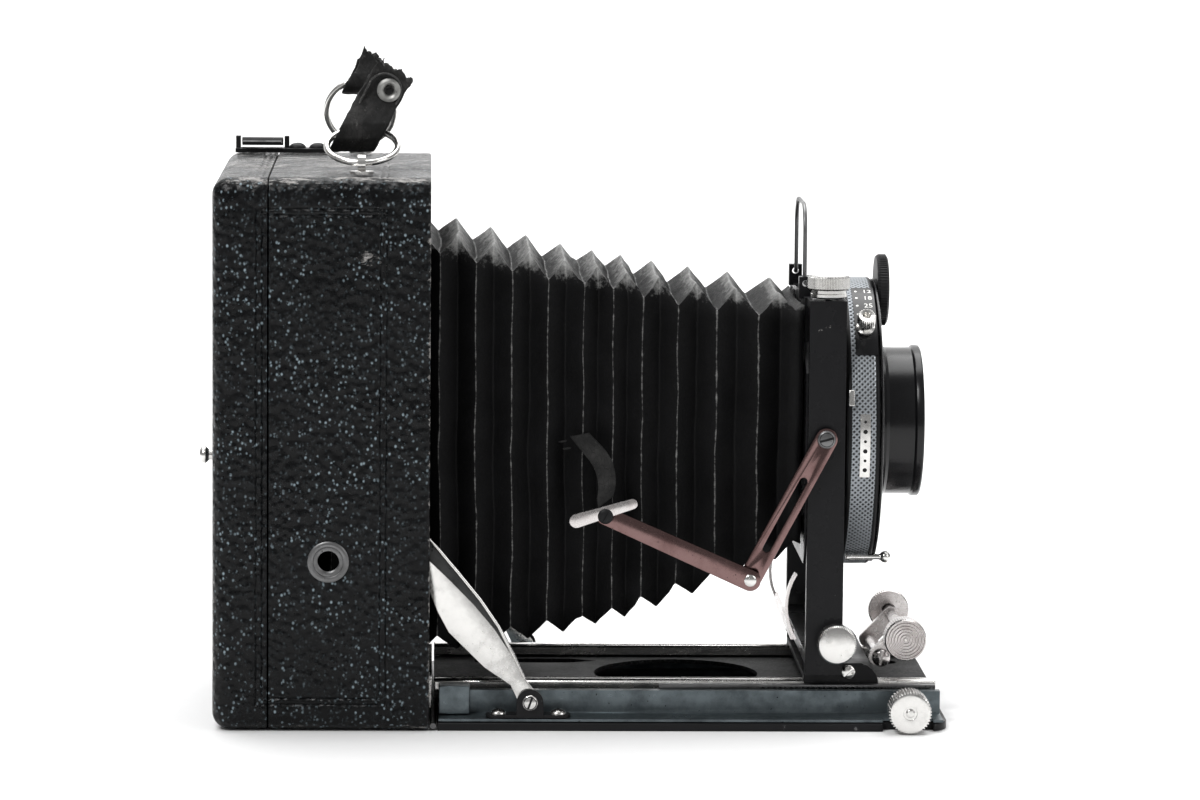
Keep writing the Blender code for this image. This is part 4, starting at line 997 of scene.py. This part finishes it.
def make_bed():
    refine("bed_door", BLACK_METAL, 0.45)
    for node in ("guide_near", "guide_far"):
        refine(node, BLUED, 0.22)
    refine("rail_end_block", BLUED, 0.3)
    refine("track_plate", GRAINED, 0.18)
    for node in ("track_rail_near", "track_rail_far"):
        refine(node, RAIL_NICKEL, 0.3)
    for node, finish, width in (("inner_rails", RAIL_NICKEL, 0.25),
                                ("film_gate", BLACK_METAL, 0.2),
                                ("hood_door", DOOR_LEATHER, 0.4)):
        refine(node, finish, width)
    for side in (-1, 1):
        wire(f"rail_lip_{side}", [(x, side * 29.2, 11.15) for x in stepped(32.2, 175.2, 24)], 0.35,
             NICKEL,
             body="focus_track", slot="nickel")

    x, _, z = middle_mm("focus_knob")
    profile = [(0, 59.0), (0.9, 58.9), (1.25, 58.6), (1.3, 58.2), (1.9, 58.2), (2.0, 58.5), (4.9, 58.75),
               (5.6, 58.6)]
    profile += band_points(6.1, 58.1, 50.6, 10)
    profile += [(5.6, 50.0), (1.4, 49.9), (1.4, 37.4), (2.8, 37.4), (2.8, 34.9), (0, 34.9)]
    knurled("focus_knob_knurled", profile, (x, 0, z), NEAR, NICKEL, "focus_knob",
            (6.1, 42, 0.5, 50.0, 58.4), 252)


def rack_teeth():
    """The rack's teeth, cut along its underside."""
    low, high = edges_mm("focus_rack")
    pitch = 1.6
    outline = [(low.x, high.z), (low.x, low.z), (124, low.z), (124, low.z + 1.4)]
    x = 125.0
    while x < high.x - pitch:
        outline += [(x, low.z + 1.4), (x + pitch * 0.3, low.z + 2.0), (x + pitch * 0.7, low.z + 2.0),
                    (x + pitch, low.z + 1.4)]
        x += pitch
    outline += [(high.x, low.z + 1.4), (high.x, high.z)]
    plate("focus_rack_toothed", [outline], (low.y + high.y) / 2, high.y - low.y, "Y", STEEL,
          "focus_rack", edge=0.08)


# ---------------------------------------------------------------- standard

def make_standard():
    foot = refine("standard_foot", BLACK_METAL, 0.3)
    face = 34.5
    for vertex in foot.data.vertices:           # the CAD's screw domes give way to slotted heads
        proud = abs(vertex.co.y) / MM - face
        if proud > 0.02:
            vertex.co.y *= (face + 0.2 * proud) / (face + proud)
    for side in (-1, 1):
        slotted_screw(f"foot_screw_{side}", (150.3, side * face, 13.9), (0, side, 0), 2.1, 0.75, NICKEL,
                      "standard", turn=40)
    refine("pull_lever", LINK_METAL_RED_REFLECTION, 0.25)
    slotted_screw("lever_nut", (161.2, -17.2, 15.2), NEAR, 2.6, 1.5, LINK_METAL_RED_REFLECTION, "standard", turn=80)

    x, _, z = middle_mm("pull_knob_near")
    rings = [(0, 30.9), (0.5, 30.9)]
    for k in range(6):
        start = 0.75 + 0.86 * k
        rings += [(start, 30.45), (start + 0.2, 30.45), (start + 0.4, 30.95), (start + 0.62, 30.95)]
    near = rings + [(5.95, 30.6)] + band_points(6.1, 30.2, 24.8, 6) + [(5.7, 24.3), (2.1, 24.2),
                                                                       (2.1, 29.0), (0, 29.0)]
    knurled("pull_knob_ringed", near, (x, 0, z), NEAR, LINK_METAL_RED_REFLECTION, "pull_knob_near",
            (6.1, 54, 0.22, 24.5, 30.3), 216)
    far = [(0, 31.1), (1.2, 31.05), (2.4, 30.9), (3.6, 30.4), (4.7, 29.6), (5.5, 28.5), (5.95, 27.2)]
    far += band_points(6.1, 26.8, 24.8, 3) + [(5.7, 24.3), (2.1, 24.2), (2.1, 29.0), (0, 29.0)]
    knurled("pull_knob_domed", far, (x, 0, z), (0, 1, 0), LINK_METAL_RED_REFLECTION, "pull_knob_far",
            (6.1, 54, 0.22, 24.5, 26.9), 216)

    refine("u_frame", ENAMEL, 0.55, 3)
    slotted_screw("link_screw_head", (142.5, -43.45, 81.9), NEAR, 2.6, 0.8, STEEL, "cross_front", turn=15)
    refine("standard_spring", LINK_METAL_RED_REFLECTION, 0.12)
    refine("lens_panel", ENAMEL, 0.35)

    x, _, z = middle_mm("shift_knob")
    profile = [(0, 46.9), (4.4, 46.95), (5.1, 46.7)] + band_points(5.6, 46.2, 41.7, 6)
    profile += [(5.1, 41.1), (1.3, 41.0), (1.3, -36.8), (0, -36.8)]
    knurled("shift_knob_knurled", profile, (x, 0, z), NEAR, NICKEL, "shift_knob",
            (5.6, 60, 0.25, 41.5, 46.4), 240)

    x, y, _ = middle_mm("rise_knob")
    profile = [(0, 127.9), (4.6, 127.95), (5.5, 127.7)] + band_points(6.0, 127.2, 124.2, 5)
    profile += [(5.4, 123.7), (4.9, 123.6), (4.9, 122.8), (5.15, 122.6), (5.15, 121.8), (4.8, 121.4),
                (1.1, 121.4)]
    for k in range(60):
        profile.append((1.1 if k % 2 else 0.9, 121.0 - k * 1.0))
    profile += [(1.0, 60.0), (0, 60.0)]
    knurled("rise_knob_knurled", profile, (x, y, 0), UP, NICKEL, "rise_knob",
            (6.0, 80, 0.2, 124.0, 127.4), 240)

    x = middle_mm("finder_loop")[0]
    half = 17.0
    bend = 8.0
    top = edges_mm("finder_loop")[1].z - 0.6
    foot = [(x, 22.6, 124.2), (x, 20.4, 124.2), (x, 18.4, 124.2), (x, 17.5, 124.35), (x, 17.1, 124.8),
            (x, half, 125.6)]
    right = foot + [(x, half, z) for z in stepped(128, top - bend - 1, 4)]
    right += [(x, y, z) for y, z in arc(half - bend, top - bend, bend, 0, 90, 12)]
    left = [(x, -y, z) for _, y, z in reversed(right)]
    wire("finder_wire", right + left, 0.6, STEEL, "finder_loop")


# ---------------------------------------------------------------- shutter and lens

def make_shutter():
    centre = (0, 0, LENS_Z)
    r = DRUM_RADIUS
    back = DRUM_LOW.x
    front = DRUM_HIGH.x
    profile = [(r - 0.7, front - 0.05), (r - 0.15, front - 0.5)]
    profile += band_points(r, front - 0.9, back + 0.9, 28)
    profile += [(r - 0.15, back + 0.5), (r - 0.7, back), (17.2, back), (17.2, back + 2),
                (38.6, back + 2), (38.6, front - 0.05)]
    cut = 0.30
    drum = lathe("shutter_drum", profile, centre, FRONT, DRUM_KNURL, "shutter_housing", count=978,
                 relief=diamond_knurl(r, 1.6, cut, back + 1.2, front - 1.2), ring=True, angle=25)

    def crest(p):
        depth = r - math.hypot(p.y, p.z - LENS_Z)
        return 1 - depth / cut if back + 1.2 <= p.x <= front - 1.2 and depth < cut * 1.1 else 0.0
    add_attribute(drum, "wear", crest)

    cover = [(40.7, 159.0), (41.15, 158.8), (41.2, 158.35), (17.2, 158.35), (17.2, 158.9), (24.0, 158.9),
             (24.4, 159.0),
             (36.0, 159.0), (36.3, 158.75), (37.0, 158.75), (37.3, 159.0)]
    lathe("shutter_front_plate", cover, centre, FRONT, BARREL_ENAMEL, "shutter_cover", slot="nickel",
          count=160, ring=True)

    dial_z = middle_mm("speed_dial")[2]
    dial = [(0, 162.9), (1.7, 162.9), (2.0, 162.4), (3.2, 162.2), (8.4, 162.2), (8.8, 162.6),
            (9.5, 162.75)]
    dial += band_points(10.35, 162.2, 160.2, 4) + [(9.8, 159.4), (0, 159.35)]
    knurled("speed_dial_knurled", dial, (0, 0, dial_z), FRONT, KNURL_ENAMEL, "speed_dial",
            (10.35, 75, 0.22, 160.0, 162.3), 300)
    for k, word in enumerate(("1", "2", "5", "10", "25", "50", "100")):
        dial_mark(word, k, dial_z)

    barrel = [(20.9, 172.45), (21.6, 172.4), (21.95, 172.0), (22.0, 170.4), (21.7, 169.9),
              (21.3, 169.7), (21.3, 162.4), (21.6, 162.0), (22.0, 161.5), (22.0, 159.6),
              (21.8, 159.35), (17.2, 159.35), (17.2, 163.4), (18.4, 163.5)]
    for k in range(6):
        barrel += [(18.5 + k * 0.22, 164.0 + k * 1.3), (18.75 + k * 0.22, 164.6 + k * 1.3)]
    barrel += [(20.1, 172.2)]
    lathe("lens_barrel_turned", barrel, centre, FRONT, BARREL_ENAMEL, "lens_barrel", count=160,
          ring=True)
    curve = 34.0
    rim = 16.8
    peak = 168.0
    drop = 4.2 / (curve - math.sqrt(curve ** 2 - rim ** 2))
    front_glass = [(0, peak)]
    for k in range(1, 13):
        y = rim * k / 12
        front_glass.append((y, peak - (curve - math.sqrt(curve ** 2 - y ** 2)) * drop))
    front_glass += [(rim, 161.2), (12.0, 161.6), (6.0, 161.9), (0, 162.0)]
    lathe("front_lens_glass", front_glass, centre, FRONT, LENS_GLASS, "front_lens", count=96)
    retainer = [(18.3, 165.4), (18.4, 164.2), (16.9, 164.0), (16.9, 164.9), (17.2, 165.4)]
    lathe("front_retaining_ring", retainer, centre, FRONT, BARREL_ENAMEL, body="rising_front",
          slot="enamel", count=120,
          ring=True)
    iris = [(33.0, 153.6), (33.0, 152.2), (9.0, 152.8), (9.0, 153.0)]
    lathe("iris_leaves", iris, centre, FRONT, BLACK_METAL, "iris_diaphragm", count=96, ring=True)

    reach = r + 0.4
    slant = math.sqrt(0.5)
    socket = [(0, 3.0), (1.2, 3.0), (1.2, 5.9), (1.5, 6.0), (2.3, 6.0)] + band_points(2.6, 5.5, 2.8, 3)
    socket += [(1.95, 2.3), (1.9, 1.0), (2.6, 0.7), (2.6, 0.0), (0, 0)]
    knurled("cable_socket_turned", socket, (154.2, -reach * slant, LENS_Z + reach * slant), (0, -1, 1),
            NICKEL,
            "cable_socket", (2.6, 24, 0.22, 2.7, 5.6), 120)

    refine("aperture_pointer", NICKEL, 0.2)
    angle = math.radians(238)
    lever_reach = r + 1.6
    y = lever_reach * math.cos(angle)
    z = LENS_Z + lever_reach * math.sin(angle)
    lever = [(1.0, 0.0), (1.15, 0.6), (0.85, 1.4), (0.8, 9.4), (0.95, 10.0)]
    lever += [(1.7 * math.sin(math.radians(t)), 11.35 - 1.7 * math.cos(math.radians(t)))
              for t in range(40, 181, 20)]
    lever = [(0, 0.0)] + lever + [(0, 13.05)]
    lathe("release_lever_turned", list(reversed(lever)), (150.0, y, z - 0.15), FRONT, NICKEL,
          "release_lever", count=32, angle=45)
    make_scale()


def dial_mark(word, k, dial_z):
    """One figure of the speed scale, raised a hair from the dial's face."""
    a = math.radians(60 + 50 * k)
    text_piece(f"dial_figure_{k}", word, 2.1, Vector((162.24, 6.4 * math.cos(a), dial_z + 6.4
                                                      * math.sin(a))),
               Vector(FRONT), Vector((0, math.cos(a), math.sin(a))), "dial", WHITE_PAINT)


def text_piece(name, word, size, place, outward, up, body, finish):
    """A small engraved figure lying on a surface, filled with paint."""
    curve = bpy.data.curves.new(name, "FONT")
    curve.body = word
    curve.size = size * MM
    curve.extrude = 0.02 * MM
    curve.align_x = "CENTER"
    curve.align_y = "CENTER"
    curve.resolution_u = 2
    bm = curve_shape(name + "_text", curve)
    outward = outward.normalized()
    up = up.normalized()
    bm.transform(Matrix.Translation(place * MM) @ turned_to(up.cross(outward), up, outward))
    bmesh.ops.remove_doubles(bm, verts=bm.verts, dist=SEAM_MERGE)
    add_piece(name, bm, finish, body=body, slot="enamel")


def rim_place(x, degrees, lift):
    a = math.radians(degrees)
    outward = Vector((0, math.cos(a), math.sin(a)))
    return Vector((x, 0, LENS_Z)) + outward * (DRUM_RADIUS + lift), outward


def rim_dot(name, x, degrees, lift, radius, finish, inner=0.0):
    """A flat painted dot on the shutter's rim."""
    place, outward = rim_place(x, degrees, lift)
    lathe(name, [(0, 0.12), (radius - inner, 0.1), (radius, 0.0), (0, 0.0)], place, outward, finish,
          body="rising_front", slot="enamel", count=24)


def make_scale():
    """The aperture scale on the near rim: a black band with white figures, and a bright dotted plate."""
    reach = DRUM_RADIUS
    band = arc(0, LENS_Z, reach + 0.20, 108, 147, 40) + arc(0, LENS_Z, reach - 0.8, 147, 108, 40)
    plate("scale_band", [band], 154.4, 6.4, "X", BARREL_ENAMEL, body="rising_front", slot="enamel",
          edge=0.12)
    for k, word in enumerate(("12", "18", "25", "36")):
        degrees = 111.5 + 5.2 * k
        place, outward = rim_place(155.6, degrees, 0.22)
        upright = Vector((0, outward.z, -outward.y))
        text_piece(f"scale_figure_{k}", word, 2.7, place, outward, upright, "rising_front", WHITE_PAINT)
        rim_dot(f"scale_dot_{k}", 152.4, degrees, 0.18, 0.42, WHITE_PAINT, 0.04)
    band = arc(0, LENS_Z, reach + 0.30, 171, 196, 30) + arc(0, LENS_Z, reach - 0.8, 196, 171, 30)
    plate("index_plate", [band], 153.6, 3.0, "X", NICKEL, body="rising_front", slot="nickel", edge=0.25)
    for k in range(6):
        rim_dot(f"index_dot_{k}", 153.6, 174.0 + 3.8 * k, 0.24, 0.62 if k % 2 else 0.42, INK)


# ---------------------------------------------------------------- links, straps and small parts

LINK_A = (142.5, 81.9)
LINK_B = (121.2, 41.9)
LINK_C = (80.0, 60.3)


def make_links():
    slot = capsule(between(LINK_A, LINK_B, 0.3), between(LINK_A, LINK_B, 0.78), 1.1)
    plate("link_upper_bar", [capsule(LINK_A, LINK_B, 3.2), slot, circle(*LINK_A, 1.5, 24),
                             circle(*LINK_B, 1.6, 24)],
          -42.6, 1.0, "Y", LINK_BAR_RED_REFLECTION, "link_upper", edge=0.25)
    plate("link_lower_bar", [capsule(LINK_B, LINK_C, 3.0, 2.6)], -45.2, 1.0, "Y", LINK_BAR_RED_REFLECTION,
          "link_lower", edge=0.25)
    rivet = [(0, 46.05), (1.3, 45.95), (2.0, 45.5), (2.1, 45.3), (1.2, 44.8), (1.2, 41.9), (0, 41.9)]
    lathe("link_rivet_head", rivet, (LINK_B[0], 0, LINK_B[1]), NEAR, NICKEL, body="lower_link",
          slot="nickel", count=40)
    plate("link_hook_bar", [capsule((71.8, 58.9), (87.6, 63.8), 2.0, 1.5)], -46.6, 0.9, "Y", LINK_METAL_RED_REFLECTION,
          "link_hook", edge=0.3)
    slotted_screw("hook_screw_head", (LINK_C[0], -47.0, LINK_C[1]), NEAR, 2.2, 0.9, BLACK_METAL, "hook",
                  "steel", 60)
    for k, (x, z) in enumerate(((68.0, 80.4), (69.2, 78.4))):
        path = [(x - 1.1, -38.9, z), (x - 0.6, -39.4, z + 0.1), (x + 0.6, -39.4, z + 0.3),
                (x + 1.1, -38.9, z + 0.4)]
        stitch = wire(f"bellows_stitch_{k}", path, 0.32, STRAP, body="rising_front", slot="strap",
                      sides=10)
        fold_with_bellows(stitch)


def soften(node, amount):
    """A leather CAD solid again, rounded and uneven like dry leather."""
    bm = edit_mesh(nodes[node].data, CAD_MERGE)
    piece = add_piece(node + "_leather", bm, STRAP, node, angle=70)
    remesh = piece.modifiers.new("remesh", "REMESH")
    remesh.mode = "VOXEL"
    remesh.voxel_size = 0.42 * MM
    relax = piece.modifiers.new("relax", "SMOOTH")
    relax.factor = 0.6
    relax.iterations = 3
    apply_modifiers(piece)
    for vertex in piece.data.vertices:
        place = vertex.co / MM
        high = min(1.0, max(0.0, (place.z - 178) / 6))
        shift = amount * (wobble(place, 5, 2.0) + 0.6 * wobble(place, 1.6, 5.0))
        torn = 0.5 + 0.5 * wobble((place.x, place.y * 0.5, 0), 2.3, 9.0)
        torn += 0.4 * wobble((place.x, place.y, 0), 0.9, 4.0)
        vertex.co += vertex.normal * (shift - high * 0.3) * MM
        vertex.co.z -= high * torn * 3.4 * MM
    piece.data.shade_smooth()


def make_straps():
    soften("strap_near", 0.28)
    soften("strap_far", 0.25)
    eyelet = [(3.4, 2.9), (3.3, 3.3), (2.6, 3.6), (1.9, 3.4), (1.4, 2.9), (0.9, 1.5),
              (0.9, -1.5), (1.4, -2.9), (1.9, -3.4), (2.6, -3.6), (3.3, -3.3), (3.4, -2.9),
              (3.4, -1.9), (1.6, -1.7), (1.6, 1.7), (3.4, 1.9)]
    middle = middle_mm("strap_near")[1]
    eyelet_place = (18.4, middle, 179.0)
    lathe("strap_eyelet", eyelet, eyelet_place, NEAR, EYELET_METAL, body="near_ring",
          slot="nickel", count=48, ring=True)
    lathe("strap_eyelet_core", [(0, 2.2), (0.95, 2.2), (0.95, -2.2), (0, -2.2)], eyelet_place,
          NEAR, INK, body="near_ring", slot="strap", count=32)
    lean = math.radians(27)
    down = (-math.sin(lean), -math.cos(lean))
    bend = [(17.2 + 4.7 * math.cos(a), 179.0 + 4.7 * math.sin(a))
            for a in (math.radians(t) - lean for t in range(0, 181, 15))]
    runs = [[(x + down[0] * t, z + down[1] * t) for t in (1, 5, 9, 13)] for x, z in (bend[0], bend[-1])]
    seam = runs[0][::-1] + bend + runs[1]
    wire("strap_seam", [(x, middle - 3.0, z) for x, z in seam], 0.32, STRAP_THREAD, body="near_ring",
         slot="strap", sides=10)
    for node in ("strap_ring_near", "strap_ring_far"):
        low, high = edges_mm(node)
        centre = (low + high) / 2
        upward = Vector((0, high.y - low.y - 1.8, high.z - low.z - 1.8))
        if node.endswith("far"):
            upward.y = -upward.y
        upward.normalize()
        points = [centre + Vector((math.sin(a), 0, 0)) * 10 + upward * 10 * math.cos(a)
                  for a in (math.tau * k / 72 for k in range(72))]
        wire(node + "_wire", points, 0.9, NICKEL, node, closed=True)
    for node in ("strap_post_near", "strap_post_far"):
        refine(node, NICKEL, 0.2)


def make_small_parts():
    refine("sight_base", BLACK_METAL, 0.2)
    refine("sight_flap", BLACK_METAL, 0.15)
    for x in (-9.2, -3.2):
        slotted_screw(f"sight_screw_{x:.0f}", (x, 46.4, 157.5), UP, 2.6, 1.6, BLACK_METAL, "camera_body",
                      "black_metal", 55)
    catch = [(0, 4.15), (1.4, 4.1), (2.2, 3.6), (2.5, 2.9), (2.4, 2.3), (1.5, 1.4), (1.5, 0.05),
             (0, 0.05)]
    lathe("catch_button", catch, (-30.6, -36.0, 76.0), (-1, 0, 0), NICKEL, "hood_catch", count=64)
    refine("hood_hinge", STEEL, 0.15)
    refine("rear_cell", BARREL_ENAMEL, 0.2)


# ---------------------------------------------------------------- studio

def make_stage():
    """A pale floor that curves up into a wall behind."""
    floor = Finish("studio_paper", (0.90, 0.90, 0.90), 0.9)
    fibre = floor.noise(240, 4.0)
    floor.colour(floor.blend(fibre, (0.885, 0.885, 0.885), (0.915, 0.915, 0.915)))
    floor.bump(fibre, 0.00002, 0.2)
    far = 1500.0
    radius = 600.0
    profile = [(y, -0.05) for y in (-2600, -800, 0, 700, far)]
    profile += [(far + radius * math.sin(a), radius - radius * math.cos(a) - 0.05)
                for a in (math.radians(t) for t in range(10, 91, 10))]
    profile.append((far + radius, 2600))
    rows = [[(x, y, z) for y, z in profile] for x in (-3000, -600, 600, 3000)]
    bm = grid(rows)
    mesh = finished_mesh("studio_sweep", bm)
    mesh.materials.append(floor.material)
    mesh.shade_smooth()
    add_object("studio_sweep", mesh)


def add_light(name, place, target, size, power):
    """A square soft light, in metres and watts."""
    data = bpy.data.lights.new(name, "AREA")
    data.shape = "RECTANGLE"
    data.size = size
    data.size_y = size
    data.energy = power
    light = add_object(name, data)
    light.location = place
    light.rotation_euler = (Vector(target) - Vector(place)).to_track_quat("-Z", "Y").to_euler()


def make_lights():
    world = bpy.data.worlds.new("studio")
    world.use_nodes = True
    background = world.node_tree.nodes["Background"]
    background.inputs["Color"].default_value = (1, 1, 1, 1)
    background.inputs["Strength"].default_value = 0.25
    bpy.context.scene.world = world
    bpy.context.scene.view_settings.view_transform = "Standard"
    middle = (0.07, 0, 0.08)
    add_light("key", (-0.7, -1.1, 1.5), middle, 0.6, 19)
    add_light("fill", (1.3, -0.9, 0.8), middle, 0.8, 5)
    add_light("top", (0.1, 0.5, 1.6), middle, 1.4, 15)
    add_light("paper", (0.0, 1.0, 1.8), (0, 1.9, 0.3), 2.4, 40)


CAMERA_PLACE = (0.02877, -1.4758, 0.2596)       # solved from the photo's perspective
CAMERA_PITCH = 6.633                            # degrees down
CAMERA_YAW = 1.98                               # degrees towards the lens
CAMERA_ROLL = 0.497
CAMERA_LENS = 153.56


def make_camera():
    """The camera stands 1.48 m off, a little above, and looks slightly down and to the right."""
    pitch = math.radians(CAMERA_PITCH)
    yaw = math.radians(CAMERA_YAW)
    roll = math.radians(CAMERA_ROLL)
    forward = Vector((math.sin(yaw) * math.cos(pitch), math.cos(yaw) * math.cos(pitch), -math.sin(pitch)))
    level = Vector((math.cos(yaw), -math.sin(yaw), 0))
    upright = level.cross(forward)
    right = level * math.cos(roll) + upright * math.sin(roll)
    up = upright * math.cos(roll) - level * math.sin(roll)
    data = bpy.data.cameras.new("camera")
    data.lens = CAMERA_LENS
    data.sensor_width = 36
    data.clip_end = 20
    camera = add_object("camera", data)
    camera.matrix_world = Matrix.Translation(CAMERA_PLACE) @ turned_to(right, up, -forward)
    bpy.context.scene.camera = camera


def dress_cad_nodes():
    """Every CAD node that stays gets the finish of its slot."""
    special = {"ground_glass": GROUND_GLASS, "hood_hinge": STEEL, "bed_hinge_pin": STEEL}
    for name, node in nodes.items():
        node.data.materials.clear()
        node.data.materials.append(special.get(name, DEFAULTS[slot_of[name]]))


make_camera()
make_lights()
make_stage()
dress_cad_nodes()
make_body()
make_tripod_bush()
make_bellows()
make_struts()
make_bed()
rack_teeth()
make_standard()
make_shutter()
make_links()
make_straps()
make_small_parts()
